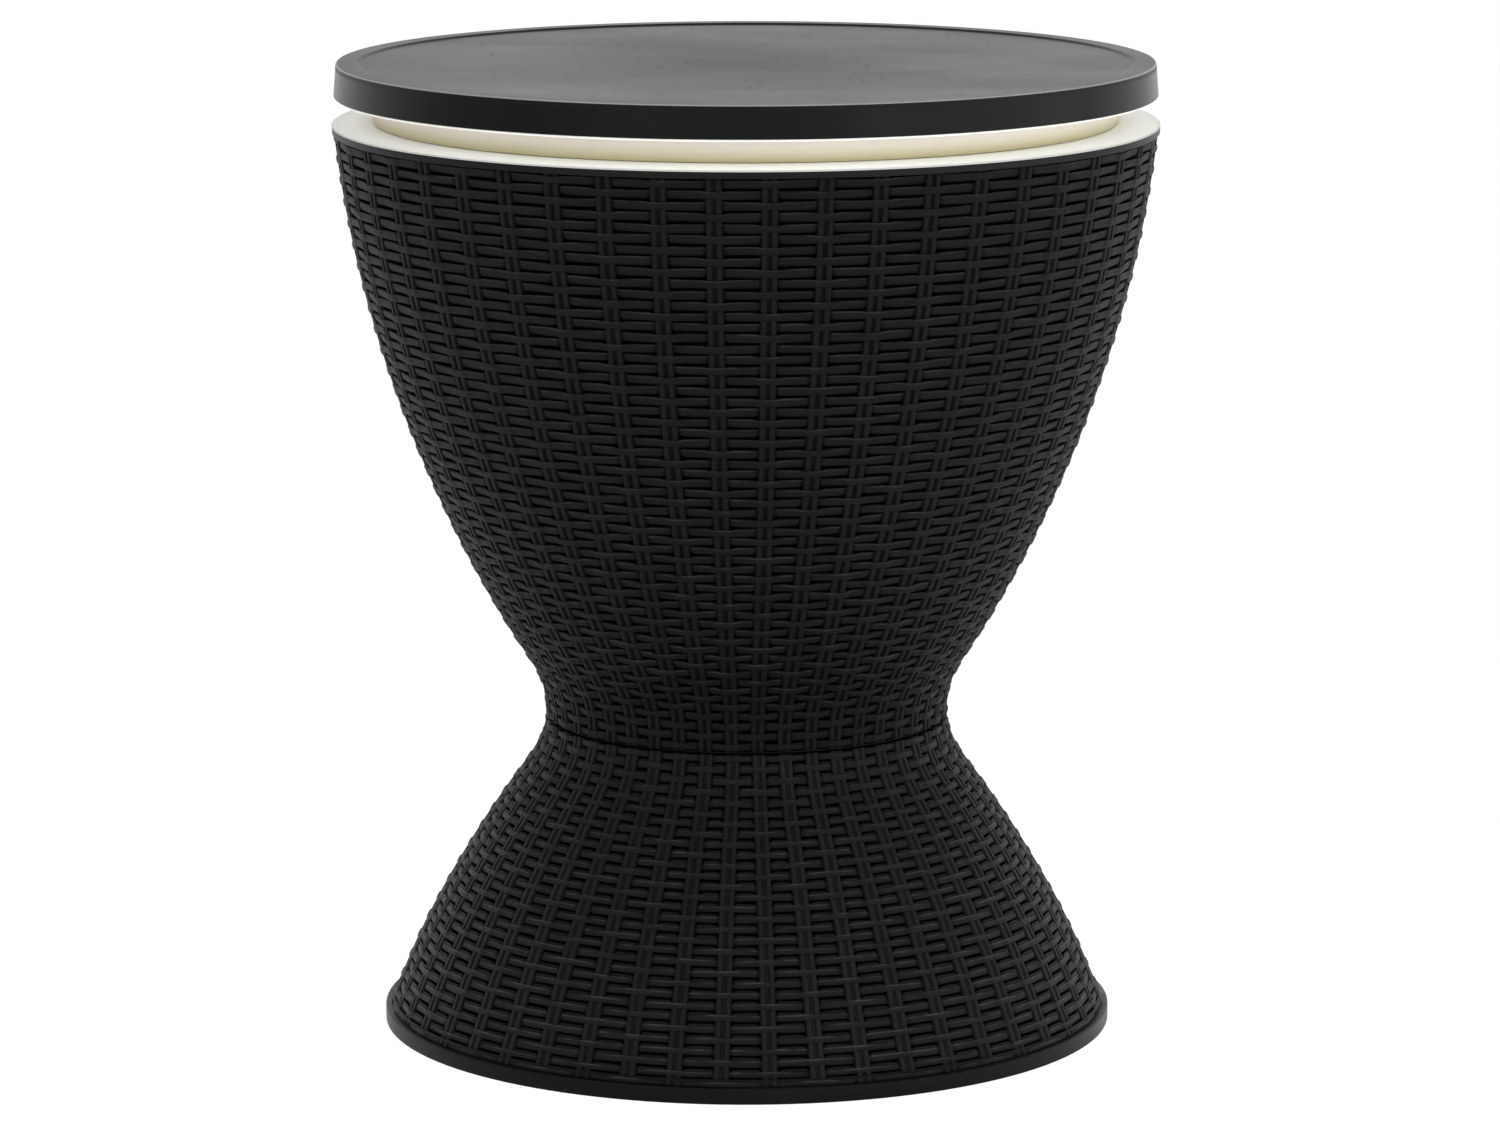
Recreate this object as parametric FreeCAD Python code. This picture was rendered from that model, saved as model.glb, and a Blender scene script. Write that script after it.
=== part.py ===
import FreeCAD, Part
import math
import os

os.makedirs("parts", exist_ok=True)

V = FreeCAD.Vector
Z = V(0, 0, 1)

# ---------------------------------------------------------------- dimensions
# All in millimetres.  +Z up, origin on the floor under the middle of the foot.
# The object is round about Z.

# overall stack, heights above the floor
H_TOP = 593.2            # highest point of the table top's raised edge
RECESS = 1.1             # the middle of the table top lies this much lower
SKIRT_Z = 573.5          # lower edge of the table top's black skirt
LIP_Z = 572.0            # lower face of the white lip under the skirt
SHOULDER_Z = 557.5       # lid shoulder, just over the bucket flange
FLANGE_Z = 557.2         # upper face of the bucket flange beside the lid's wall
FLANGE_EDGE_Z = 556.15   # the flange slopes down to this height at its outer edge
RIM_Z = 555.15           # top of the woven bowl, under the flange
RIM_BAND_Z = 551.2       # lower edge of the bowl's plain rim band
WAIST_Z = 190.0          # bowl stands on the base here
BAND_Z = 10.0            # plain foot band

R_TOP = 248.4
R_SKIRT = 249.9
R_FLANGE = 251.2
R_RIM = 251.0
R_BAND = 224.0

# outer envelope of the woven walls, (height, radius) at the crests of the weave
BASE_WALL = [(10.0, 221.5), (25.0, 214.8), (45.0, 206.2), (65.0, 196.5),
             (85.0, 185.7), (105.0, 173.9), (125.0, 161.3), (145.0, 147.7),
             (155.0, 140.5), (165.0, 133.5), (175.0, 128.1), (185.0, 125.0),
             (190.0, 124.4)]
BOWL_WALL = [(190.0, 124.4), (201.0, 124.8), (211.0, 126.9), (221.0, 131.3),
             (231.0, 137.4), (246.0, 146.9), (266.0, 158.5), (291.0, 171.9),
             (321.0, 186.4), (351.0, 199.4), (381.0, 210.9), (411.0, 221.0),
             (441.0, 229.7), (471.0, 237.2), (501.0, 243.2), (531.0, 248.0),
             (551.2, 250.6)]

WALL = 5.0               # woven wall: 2.4 of relief on a 2.6 backing
STAKES = 48              # upright stake pairs in the weave, 7.5 degrees apart
RIBS = 12                # stiffening ribs inside the base

# insulated bucket
JACKET_GAP = 6.5         # envelope to the outside of the jacket
JACKET_T = 2.0
FOAM_T = 12.0
LINER_T = 2.5
JACKET_FLOOR_Z = 200.0
FLOOR_Z = 216.5          # inside floor of the bucket
MOUTH_R = 220.5          # bucket mouth

# telescopic centre
LIFT = 250.0
POST_R, POST_RI = 30.5, 27.5
POST_Z0, POST_Z1 = 118.0, 572.0
KEY_W, KEY_D = 8.4, 1.3          # keyways down the post
KEYWAY_Z0, KEYWAY_Z1 = 262.0, 541.0
SLEEVE_R, SLEEVE_RI = 38.0, 31.0
SLEEVE_Z0, SLEEVE_Z1 = 100.0, 536.0
SEAL_R = 53.0                    # sleeve's flange on the bucket floor
GROOVE_R = 34.2                  # lug channels in the sleeve's bore
LUG_R, LUG_Z0, LUG_Z1 = 33.8, 110.0, 118.0
LUG_HALF = 9.0                   # half width of a lug, degrees
LUG_CLEAR = 1.5                  # side clearance of a lug, degrees
TWIST = 45.0                     # quarter-turn style lock, degrees
BUSH_RI, BUSH_RO = 30.9, 34.6
BUSH_Z0, BUSH_Z1 = 520.0, 534.0
BUSH_SEAT_R = 34.9

# lid
PLUG_Z0 = 548.0                  # underside of the insulated plug
PLUG_R = 219.3
LINER_BOSS_R = 150.0             # circle of the cover screws
HUB_SCREW_R = 50.0               # circle of the hub screws

# waist joint and drain
WAIST_SCREW_R = 96.0
DRAIN_R, DRAIN_ANG = 72.0, -90.0
DRAIN_BORE = 8.0


# ------------------------------------------------------------------- helpers
def polar(r, deg, z=0.0):
    a = math.radians(deg)
    return V(r * math.cos(a), r * math.sin(a), z)


def curve_r(table, z):
    """Radius at height z: a smooth cubic through the table's points."""
    n = len(table)
    zs = [p[0] for p in table]
    rs = [p[1] for p in table]
    d = [(rs[i + 1] - rs[i]) / (zs[i + 1] - zs[i]) for i in range(n - 1)]
    m = [d[0]] + [0.5 * (d[i - 1] + d[i]) for i in range(1, n - 1)] + [d[-1]]
    z = max(zs[0], min(zs[-1], z))
    i = max(j for j in range(n - 1) if zs[j] <= z)
    h = zs[i + 1] - zs[i]
    t = (z - zs[i]) / h
    return ((2 * t ** 3 - 3 * t ** 2 + 1) * rs[i] + (t ** 3 - 2 * t ** 2 + t) * h * m[i]
            + (-2 * t ** 3 + 3 * t ** 2) * rs[i + 1] + (t ** 3 - t ** 2) * h * m[i + 1])


def wall_points(table, z0, z1, inset, n=26):
    """Points of the envelope between two heights, moved inwards radially."""
    out = []
    for i in range(n + 1):
        z = z0 + (z1 - z0) * i / n
        out.append((curve_r(table, z) - inset, z))
    return out


def profile(path):
    """Closed wire in the XZ plane.  An item is (r, z), (r, z, fillet) or a
    list of points, which is followed as one smooth curve."""
    items = []
    for it in path:
        if isinstance(it, list):
            items.append(("s", it))
        else:
            items.append(("p", it[0], it[1], it[2] if len(it) > 2 else 0.0))
    n = len(items)

    def first(it):
        return it[1][0] if it[0] == "s" else (it[1], it[2])

    def last(it):
        return it[1][-1] if it[0] == "s" else (it[1], it[2])

    edges = []
    ends = []
    for k, it in enumerate(items):
        if it[0] == "s" or it[3] <= 0:
            ends.append((first(it), last(it)))
            if it[0] == "s":
                c = Part.BSplineCurve()
                c.interpolate([V(p[0], 0, p[1]) for p in it[1]])
                edges.append((k, c.toShape()))
            continue
        p = V(it[1], 0, it[2])
        a = V(*[last(items[k - 1])[0], 0, last(items[k - 1])[1]])
        b = V(*[first(items[(k + 1) % n])[0], 0, first(items[(k + 1) % n])[1]])
        u = (a - p).normalize()
        w = (b - p).normalize()
        half = 0.5 * math.acos(max(-1.0, min(1.0, u.dot(w))))
        t = it[3] / math.tan(half)
        s = p + u * t
        e = p + w * t
        mid = (u + w).normalize()
        cen = p + mid * (it[3] / math.sin(half))
        m = cen - mid * it[3]
        edges.append((k, Part.Arc(s, m, e).toShape()))
        ends.append(((s.x, s.z), (e.x, e.z)))
    out = []
    for k in range(n):
        out += [e for (j, e) in edges if j == k]
        a = V(ends[k][1][0], 0, ends[k][1][1])
        b = V(ends[(k + 1) % n][0][0], 0, ends[(k + 1) % n][0][1])
        if (b - a).Length > 1e-6:
            out.append(Part.makeLine(a, b))
    return Part.Wire(Part.__sortEdges__(out))


def turned(path, angle=360.0, start=0.0):
    f = Part.Face(profile(path))
    s = f.revolve(V(0, 0, 0), Z, angle)
    if start:
        s.rotate(V(0, 0, 0), Z, start)
    return s


def cyl(r, z0, z1, x=0.0, y=0.0):
    return Part.makeCylinder(r, z1 - z0, V(x, y, z0))


def tube(ro, ri, z0, z1, x=0.0, y=0.0):
    return cyl(ro, z0, z1, x, y).cut(cyl(ri, z0 - 1, z1 + 1, x, y))


def fuse(a, *more):
    s = a
    for m in more:
        s = s.fuse(m)
    return s.removeSplitter()


def one(s):
    """The single solid of a boolean's result."""
    sol = s.Solids
    if len(sol) != 1:
        raise RuntimeError("expected one solid, got %d" % len(sol))
    return sol[0]


def save(name, shape):
    for s in shape.Solids:
        if not s.isValid():
            print("NOT VALID", name)
    shape.exportStep("parts/%s.step" % name)
    print("%-16s solids %2d  volume %9.1f cm3" % (name, len(shape.Solids), shape.Volume / 1000.0))


def pan_screw(head_r, head_h, shank_r, length):
    """Pan-head self-tapping screw, head up, under-head face at z = 0."""
    head = turned([(0, 0), (head_r, 0), (head_r, head_h * 0.45, head_h * 0.4),
                   (head_r * 0.55, head_h), (0, head_h)])
    shank = turned([(0, 0), (shank_r, 0), (shank_r, -length + 3.0),
                    (0.35, -length), (0, -length)])
    s = head.fuse(shank)
    slot = Part.makeBox(head_r * 1.1, 1.0, 1.6, V(-head_r * 0.55, -0.5, head_h - 1.1))
    slot2 = slot.copy()
    slot2.rotate(V(0, 0, 0), Z, 90)
    return one(s.cut(slot).cut(slot2).removeSplitter())


def placed(shape, pos, deg=0.0, flip=False):
    s = shape.copy()
    if flip:
        s.rotate(V(0, 0, 0), V(1, 0, 0), 180)
    s.rotate(V(0, 0, 0), Z, deg)
    s.translate(pos)
    return s


drain = polar(DRAIN_R, DRAIN_ANG)
waist_angles = [30.0 + 60.0 * i for i in range(6)]
cover_angles = [60.0 * i for i in range(6)]
hub_angles = [30.0 + 60.0 * i for i in range(6)]


# ----------------------------------------------------- woven base, one moulding
def make_lower_shell():
    outer = wall_points(BASE_WALL, BAND_Z, WAIST_Z, 0.0)
    inner = wall_points(BASE_WALL, 14.0, 180.0, WALL + 0.6)
    path = [(R_BAND - 4.6, 0), (R_BAND, 0, 0.6), (R_BAND, BAND_Z, 1.2),
            outer,
            (66.0, WAIST_Z), (66.0, WAIST_Z - 4.0),
            (curve_r(BASE_WALL, 180.0) - WALL - 0.6, WAIST_Z - 4.0),
            list(reversed(inner)),
            (R_BAND - 4.6, 14.0)]
    s = turned(path)
    # short ribs on the inside of the wall
    for i in range(RIBS):
        pts = wall_points(BASE_WALL, 16.0, 178.0, WALL + 0.2, 12)
        wire = [V(p[0], 0, p[1]) for p in pts]
        inn = [V(p[0] - 11.0, 0, p[1]) for p in reversed(pts)]
        c1 = Part.BSplineCurve(); c1.interpolate(wire)
        c2 = Part.BSplineCurve(); c2.interpolate(inn)
        w = Part.Wire([c1.toShape(), Part.makeLine(wire[-1], inn[0]), c2.toShape(),
                       Part.makeLine(inn[-1], wire[0])])
        f = Part.Face(w)
        f.translate(V(0, -1.25, 0))
        rib = f.extrude(V(0, 2.5, 0))
        rib.rotate(V(0, 0, 0), Z, 360.0 * i / RIBS)
        s = s.fuse(rib)
    # collar that stiffens the edge of the waist opening
    s = s.fuse(tube(69.0, 66.0, WAIST_Z - 16.0, WAIST_Z - 3.0))
    for a in waist_angles:
        p = polar(WAIST_SCREW_R, a)
        s = s.fuse(cyl(6.0, WAIST_Z - 24.0, WAIST_Z - 3.0, p.x, p.y))
    # clearance for the drain's nut
    s = s.cut(cyl(21.0, WAIST_Z - 40.0, WAIST_Z + 1.0, drain.x, drain.y))
    s = s.cut(cyl(66.0, WAIST_Z - 40.0, WAIST_Z + 1.0))
    for a in waist_angles:
        p = polar(WAIST_SCREW_R, a)
        s = s.cut(cyl(2.05, WAIST_Z - 21.0, WAIST_Z + 1.0, p.x, p.y))
    return one(s.removeSplitter())


# ----------------------------------------------------- woven bowl, one moulding
def make_upper_shell():
    outer = wall_points(BOWL_WALL, WAIST_Z, RIM_BAND_Z, 0.0, 34)
    inner = wall_points(BOWL_WALL, WAIST_Z + 4.0, RIM_BAND_Z, WALL + 0.4, 34)
    path = [(39.0, WAIST_Z), outer,
            (R_RIM, RIM_BAND_Z, 0.2), (R_RIM, RIM_Z, 0.8),
            (inner[-1][0], RIM_Z),
            list(reversed(inner)),
            (39.0, WAIST_Z + 4.0)]
    s = turned(path)
    s = s.fuse(tube(56.0, 39.0, WAIST_Z + 3.0, JACKET_FLOOR_Z))
    # six short webs carry the bucket's jacket
    for i in range(6):
        web = Part.makeBox(38.0, 2.5, JACKET_FLOOR_Z - WAIST_Z - 3.0, V(55.0, -1.25, WAIST_Z + 3.0))
        web.rotate(V(0, 0, 0), Z, 60.0 * i)
        s = s.fuse(web)
    for a in waist_angles:
        p = polar(WAIST_SCREW_R, a)
        s = s.cut(cyl(2.6, WAIST_Z - 1.0, WAIST_Z + 5.0, p.x, p.y))
    s = s.cut(cyl(11.4, WAIST_Z - 1.0, JACKET_FLOOR_Z + 1.0, drain.x, drain.y))
    return one(s.removeSplitter())


# --------------------------------------------------------------- cooler bucket
def bucket_r(z, inset):
    """Bucket wall radius: follows the bowl, then runs nearly upright to the mouth."""
    follow = curve_r(BOWL_WALL, z) - inset
    upright = MOUTH_R - (FLANGE_Z - z) * 0.02 + (JACKET_GAP + JACKET_T + FOAM_T + LINER_T - inset)
    k = 6.0
    # smooth minimum of the two
    h = max(0.0, min(1.0, 0.5 + 0.5 * (upright - follow) / k))
    return upright * (1 - h) + follow * h - k * h * (1 - h)


def foot_slope():
    """Slope dr/dz of the bucket wall just above its rounded foot."""
    z = FLOOR_Z + 16.0
    return (bucket_r(z + 8.0, 20.5) - bucket_r(z, 20.5)) / 8.0


def foot_curve(r_wall, z_wall, z_floor, slope):
    """Round the corner from the flat floor up into the wall."""
    h = z_wall - z_floor
    a = (r_wall - h * slope - 15.0, z_floor)
    b = (a[0] + 9.0, z_floor)
    d = (r_wall, z_wall)
    c = (r_wall - 9.0 * slope, z_wall - 9.0)
    out = []
    for i in range(7):
        t = i / 7.0
        k = [(1 - t) ** 3, 3 * t * (1 - t) ** 2, 3 * t * t * (1 - t), t ** 3]
        out.append(tuple(sum(w * p[j] for w, p in zip(k, (a, b, c, d))) for j in (0, 1)))
    return out


def make_bucket_liner():
    inset_in = JACKET_GAP + JACKET_T + FOAM_T + LINER_T
    inset_out = inset_in - LINER_T
    n = 34
    z0 = FLOOR_Z + 16.0
    inner = [(bucket_r(z0 + (FLANGE_Z - 3.0 - z0) * i / n, inset_in),
              z0 + (FLANGE_Z - 3.0 - z0) * i / n) for i in range(n + 1)]
    outer = [(bucket_r(z0 + (RIM_Z - z0) * i / n, inset_out),
              z0 + (RIM_Z - z0) * i / n) for i in range(n + 1)]
    # rounded foot of the wall
    ri0, ro0 = inner[0][0], outer[0][0]
    si = foot_slope()
    foot_in = foot_curve(ri0, z0, FLOOR_Z, si) + inner
    foot_out = foot_curve(ro0, z0, FLOOR_Z - LINER_T, si) + outer
    path = [(38.4, FLOOR_Z - LINER_T), foot_out,
            (R_FLANGE, RIM_Z, 0.4), (R_FLANGE, FLANGE_EDGE_Z, 0.45), (227.0, FLANGE_Z),
            (MOUTH_R, FLANGE_Z, 1.2), (inner[-1][0], FLANGE_Z - 2.95), list(reversed(foot_in)),
            (38.4, FLOOR_Z)]
    s = turned(path)
    s = s.cut(cyl(11.3, FLOOR_Z - 6.0, FLOOR_Z + 3.0, drain.x, drain.y))
    return one(s)


def make_insulation():
    n = 30
    z0, z1 = JACKET_FLOOR_Z + JACKET_T, RIM_Z - 3.0
    out_in = JACKET_GAP + JACKET_T
    outer = [(curve_r(BOWL_WALL, z0 + (z1 - z0) * i / n) - out_in - 0.1,
              z0 + (z1 - z0) * i / n) for i in range(n + 1)]
    inset = JACKET_GAP + JACKET_T + FOAM_T
    zi = FLOOR_Z + 16.0
    inner = [(bucket_r(zi + (z1 - zi) * i / n, inset) + 0.5,
              zi + (z1 - zi) * i / n) for i in range(n + 1)]
    zf = FLOOR_Z - LINER_T
    g = 0.5
    ro0 = inner[0][0] - g
    si = foot_slope()
    foot = [(r + g, z) for (r, z) in foot_curve(ro0, zi, zf, si)] + inner
    path = [(39.5, z0), outer, list(reversed(foot)), (39.5, zf)]
    s = turned(path)
    s = s.cut(cyl(13.0, z0 - 1.0, zf + 1.0, drain.x, drain.y))
    return one(s)


def make_bucket_jacket():
    n = 30
    z0, z1 = JACKET_FLOOR_Z, RIM_Z
    top = RIM_BAND_Z
    outer = [(curve_r(BOWL_WALL, z0 + (top - z0) * i / n) - JACKET_GAP,
              z0 + (top - z0) * i / n) for i in range(n + 1)]
    zi = JACKET_FLOOR_Z + JACKET_T
    inner = [(curve_r(BOWL_WALL, zi + (top - zi) * i / n) - JACKET_GAP - JACKET_T,
              zi + (top - zi) * i / n) for i in range(n + 1)]
    path = [(38.5, z0), outer, (outer[-1][0], z1), (inner[-1][0], z1),
            list(reversed(inner)), (38.5, zi)]
    s = turned(path)
    s = s.cut(cyl(11.4, z0 - 1.0, zi + 1.0, drain.x, drain.y))
    return one(s)


# ----------------------------------------------------------- telescopic centre
def make_center_sleeve():
    body = tube(SLEEVE_R, SLEEVE_RI, SLEEVE_Z0, SLEEVE_Z1)
    flange = turned([(SLEEVE_R - 1.0, FLOOR_Z + 2.0), (SEAL_R, FLOOR_Z + 2.0, 0.8),
                     (SEAL_R, FLOOR_Z + 5.5, 1.5), (SLEEVE_R + 5.0, FLOOR_Z + 6.5),
                     (SLEEVE_R, FLOOR_Z + 16.0), (SLEEVE_R - 1.0, FLOOR_Z + 16.0)])
    body = body.fuse(flange)
    # open end below, counterbore for the bush above
    body = body.cut(cyl(GROOVE_R, SLEEVE_Z0 - 1.0, LUG_Z0 - 0.5))
    body = body.cut(cyl(BUSH_SEAT_R, BUSH_Z0 - 0.3, SLEEVE_Z1 + 1.0))
    half = LUG_HALF + LUG_CLEAR
    for side in (0.0, 180.0):
        def sector(z0, z1, a0, a1):
            return turned([(SLEEVE_RI - 2.0, z0), (GROOVE_R, z0), (GROOVE_R, z1),
                           (SLEEVE_RI - 2.0, z1)], a1 - a0, side + a0)
        channel = sector(LUG_Z0 - 1.0, LUG_Z1 + LIFT + 0.5, -half, half)
        low = sector(LUG_Z0 - 1.0, LUG_Z1 + 0.5, -half, half + TWIST)
        high = sector(LUG_Z0 + LIFT - 0.4, LUG_Z1 + LIFT + 0.5, -half, half + TWIST)
        body = body.cut(channel).cut(low).cut(high)
    return one(body.removeSplitter())


def make_sleeve_nut():
    z0, z1 = WAIST_Z - 14.0, WAIST_Z
    n = tube(50.0, SLEEVE_R + 0.05, z0, z1)
    for i in range(10):
        c = polar(52.0, 36.0 * i)
        n = n.cut(cyl(5.0, z0 - 1.0, z1 - 4.0, c.x, c.y))
    n = n.fuse(tube(53.0, 48.0, z1 - 4.0, z1))
    return one(n.removeSplitter())


def make_sleeve_cap():
    c = turned([(31.4, BUSH_Z1 + 0.3), (BUSH_SEAT_R, BUSH_Z1 + 0.3), (BUSH_SEAT_R, SLEEVE_Z1),
                (SLEEVE_R + 0.05, SLEEVE_Z1), (SLEEVE_R + 0.05, SLEEVE_Z1 - 12.0),
                (SLEEVE_R + 3.0, SLEEVE_Z1 - 12.0), (SLEEVE_R + 3.0, SLEEVE_Z1 + 3.0, 2.4),
                (31.4, SLEEVE_Z1 + 3.0, 1.0)])
    # finger ribs round the outside
    for i in range(24):
        p = polar(SLEEVE_R + 3.0, 15.0 * i)
        c = c.cut(cyl(0.9, SLEEVE_Z1 - 13.0, SLEEVE_Z1 - 1.0, p.x, p.y))
    return one(c.removeSplitter())


def make_sleeve_end_cap():
    z = SLEEVE_Z0
    c = turned([(0, z - 3.0), (SLEEVE_R + 2.6, z - 3.0, 1.5), (SLEEVE_R + 2.6, z + 12.0),
                (SLEEVE_R + 0.05, z + 12.0), (SLEEVE_R + 0.05, z), (GROOVE_R - 0.1, z),
                (GROOVE_R - 0.1, z + 6.0), (GROOVE_R - 2.4, z + 6.0), (GROOVE_R - 2.4, z),
                (0, z)])
    return one(c)


def make_guide_bush():
    b = tube(BUSH_RO, BUSH_RI, BUSH_Z0, BUSH_Z1)
    for a in (90.0, 270.0):
        key = Part.makeBox(2.4, KEY_W - 0.8, BUSH_Z1 - BUSH_Z0,
                           V(POST_R - KEY_D + 0.4, -(KEY_W - 0.8) / 2.0, BUSH_Z0))
        key.rotate(V(0, 0, 0), Z, a)
        b = b.fuse(key)
    return one(b.removeSplitter())


def make_lift_post():
    p = tube(POST_R, POST_RI, POST_Z0, POST_Z1)
    for a in (90.0, 270.0):
        slot = Part.makeBox(4.0, KEY_W, KEYWAY_Z1 - KEYWAY_Z0,
                            V(POST_R - KEY_D, -KEY_W / 2.0, KEYWAY_Z0))
        slot.rotate(V(0, 0, 0), Z, a)
        p = p.cut(slot)
    hole = Part.makeCylinder(1.65, 90.0, V(-45.0, 0, 558.0), V(1, 0, 0))
    p = p.cut(hole)
    hole = Part.makeCylinder(1.45, 90.0, V(0, -45.0, 128.0), V(0, 1, 0))
    p = p.cut(hole)
    for side in (1, -1):
        p = p.cut(Part.makeCylinder(2.8, 5.0, V(0, side * (POST_R - 1.4), 128.0), V(0, side, 0)))
    return one(p.removeSplitter())


def make_post_foot():
    disc = turned([(10.0, LUG_Z0), (30.6, LUG_Z0, 0.8), (30.6, LUG_Z1), (POST_RI - 0.05, LUG_Z1),
                   (POST_RI - 0.05, LUG_Z1 + 20.0, 1.0), (24.0, LUG_Z1 + 20.0), (24.0, LUG_Z1 - 2.0),
                   (10.0, LUG_Z1 - 2.0)])
    for side in (0.0, 180.0):
        lug = turned([(26.0, LUG_Z0), (LUG_R, LUG_Z0, 0.6), (LUG_R, LUG_Z1, 0.6), (26.0, LUG_Z1)],
                     2 * LUG_HALF, side - LUG_HALF)
        # trim what would reach into the post's wall
        disc = disc.fuse(lug.cut(cyl(POST_R - 3.2, LUG_Z1 - 0.01, LUG_Z1 + 2.0)))
    disc = disc.cut(Part.makeCylinder(1.45, 90.0, V(0, -45.0, 128.0), V(0, 1, 0)))
    return one(disc.removeSplitter())


def make_post_flange():
    f = turned([(POST_R + 0.05, PLUG_Z0 - 5.0, 0.8), (62.0, PLUG_Z0 - 5.0, 2.0), (62.0, PLUG_Z0, 0.5),
                (36.0, PLUG_Z0), (36.0, PLUG_Z0 + 20.0, 0.8), (POST_R + 0.05, PLUG_Z0 + 20.0)])
    for a in hub_angles:
        p = polar(HUB_SCREW_R, a)
        f = f.cut(cyl(2.6, PLUG_Z0 - 6.0, PLUG_Z0 + 1.0, p.x, p.y))
    f = f.cut(Part.makeCylinder(1.65, 90.0, V(-45.0, 0, 558.0), V(1, 0, 0)))
    return one(f)


# ------------------------------------------------------------------ lid / top
def make_table_top():
    zr = H_TOP - RECESS
    t = 3.0
    s = turned([(0, zr), (233.6, zr, 2.0), (236.0, H_TOP, 1.2), (R_TOP, H_TOP, 0.9),
                (R_SKIRT, SKIRT_Z, 0.5), (R_SKIRT - 2.6, SKIRT_Z),
                (R_TOP - 3.0, H_TOP - 4.0, 1.0), (234.0, H_TOP - 4.0), (232.0, zr - t),
                (0, zr - t)])
    # rib grid under the plate
    zb = zr - t - 6.0
    for i in range(12):
        a = 15.0 + 30.0 * i
        rib = Part.makeBox(232.0 - 64.0, 2.0, 6.5, V(64.0, -1.0, zb))
        rib.rotate(V(0, 0, 0), Z, a)
        s = s.fuse(rib)
    for r in (64.0, 108.0, 196.0):
        s = s.fuse(tube(r + 1.0, r - 1.0, zb, zr - t + 0.5))
    for a in cover_angles:
        p = polar(LINER_BOSS_R, a)
        s = s.fuse(cyl(6.0, PLUG_Z0 + LINER_T, zr - t + 0.5, p.x, p.y))
    for a in hub_angles:
        p = polar(HUB_SCREW_R, a)
        s = s.fuse(cyl(6.0, PLUG_Z0 + LINER_T, zr - t + 0.5, p.x, p.y))
    for a in cover_angles:
        p = polar(LINER_BOSS_R, a)
        s = s.cut(cyl(1.95, PLUG_Z0 - 1.0, PLUG_Z0 + 18.0, p.x, p.y))
    for a in hub_angles:
        p = polar(HUB_SCREW_R, a)
        s = s.cut(cyl(1.95, PLUG_Z0 - 1.0, PLUG_Z0 + 20.0, p.x, p.y))
    return one(s.removeSplitter())


def make_lid_liner():
    z = PLUG_Z0
    t = LINER_T
    path = [(36.4, z), (PLUG_R - 1.2, z, 7.0), (PLUG_R, SHOULDER_Z, 0.8),
            (225.4, SHOULDER_Z, 0.8), (229.0, LIP_Z), (229.75, LIP_Z + 3.0),
            (227.2, LIP_Z + 3.0), (223.2, SHOULDER_Z + t, 0.8), (PLUG_R - t, SHOULDER_Z + t, 0.8),
            (PLUG_R - 1.2 - t, z + t, 4.6), (36.4, z + t)]
    s = turned(path)
    for a in cover_angles:
        p = polar(LINER_BOSS_R, a)
        s = s.cut(cyl(2.6, z - 1.0, z + t + 1.0, p.x, p.y))
    for a in hub_angles:
        p = polar(HUB_SCREW_R, a)
        s = s.cut(cyl(2.6, z - 1.0, z + t + 1.0, p.x, p.y))
    return one(s)


def make_lid_rim():
    # white trim ring between the liner's wall and the table top's skirt
    return one(turned([(229.05, LIP_Z, 0.4), (R_TOP - 0.2, LIP_Z, 0.7),
                       (R_TOP - 0.2, SKIRT_Z), (R_SKIRT - 3.0, SKIRT_Z), (R_SKIRT - 3.2, SKIRT_Z + 3.0),
                       (R_SKIRT - 5.6, SKIRT_Z + 3.0), (R_SKIRT - 5.6, LIP_Z + 3.0),
                       (229.8, LIP_Z + 3.0)]))


def make_lid_foam():
    z0, z1 = PLUG_Z0 + LINER_T, H_TOP - RECESS - 3.0 - 6.2
    f = turned([(42.0, z0), (PLUG_R - LINER_T - 7.0, z0), (PLUG_R - LINER_T - 1.6, z0 + 6.0),
                (PLUG_R - LINER_T - 1.0, z1), (42.0, z1)])
    for r, angs in ((LINER_BOSS_R, cover_angles), (HUB_SCREW_R, hub_angles)):
        for a in angs:
            p = polar(r, a)
            f = f.cut(cyl(6.6, z0 - 1.0, z1 + 1.0, p.x, p.y))
    return one(f)


# ---------------------------------------------------------------------- drain
def make_drain_pipe():
    d = turned([(DRAIN_BORE, 160.0), (11.0, 160.0, 0.4), (11.0, FLOOR_Z + 1.5),
                (16.0, FLOOR_Z + 1.5, 0.6), (16.0, FLOOR_Z + 4.0, 1.2), (DRAIN_BORE, FLOOR_Z + 4.0, 0.8)])
    d.translate(drain)
    return one(d)


def make_drain_nut():
    hexa = Part.Face(Part.makePolygon([polar(17.5, 60.0 * i, WAIST_Z - 9.0) for i in range(7)]))
    n = hexa.extrude(V(0, 0, 9.0))
    n = n.common(turned([(0, WAIST_Z - 9.0), (17.6, WAIST_Z - 9.0, 1.6), (17.6, WAIST_Z), (0, WAIST_Z)]))
    n = n.cut(cyl(11.05, WAIST_Z - 10.0, WAIST_Z + 1.0))
    n.translate(drain)
    return one(n)


def make_drain_plug():
    z = FLOOR_Z + 4.3
    p = turned([(0, z - 16.0), (6.6, z - 16.0, 1.0), (7.7, z), (12.5, z, 0.6), (12.5, z + 3.6, 1.4),
                (5.0, z + 4.4), (5.0, z + 5.6, 0.8), (0, z + 5.6)])
    ring = Part.makeTorus(8.5, 1.9, V(0, 0, z + 13.2), V(0, 1, 0))
    p = p.fuse(ring)
    p.translate(drain)
    return one(p.removeSplitter())


# ------------------------------------------------------------------- fasteners
def group(screw, items):
    return Part.makeCompound([placed(screw, pos, deg, flip) for (pos, deg, flip) in items])


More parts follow.
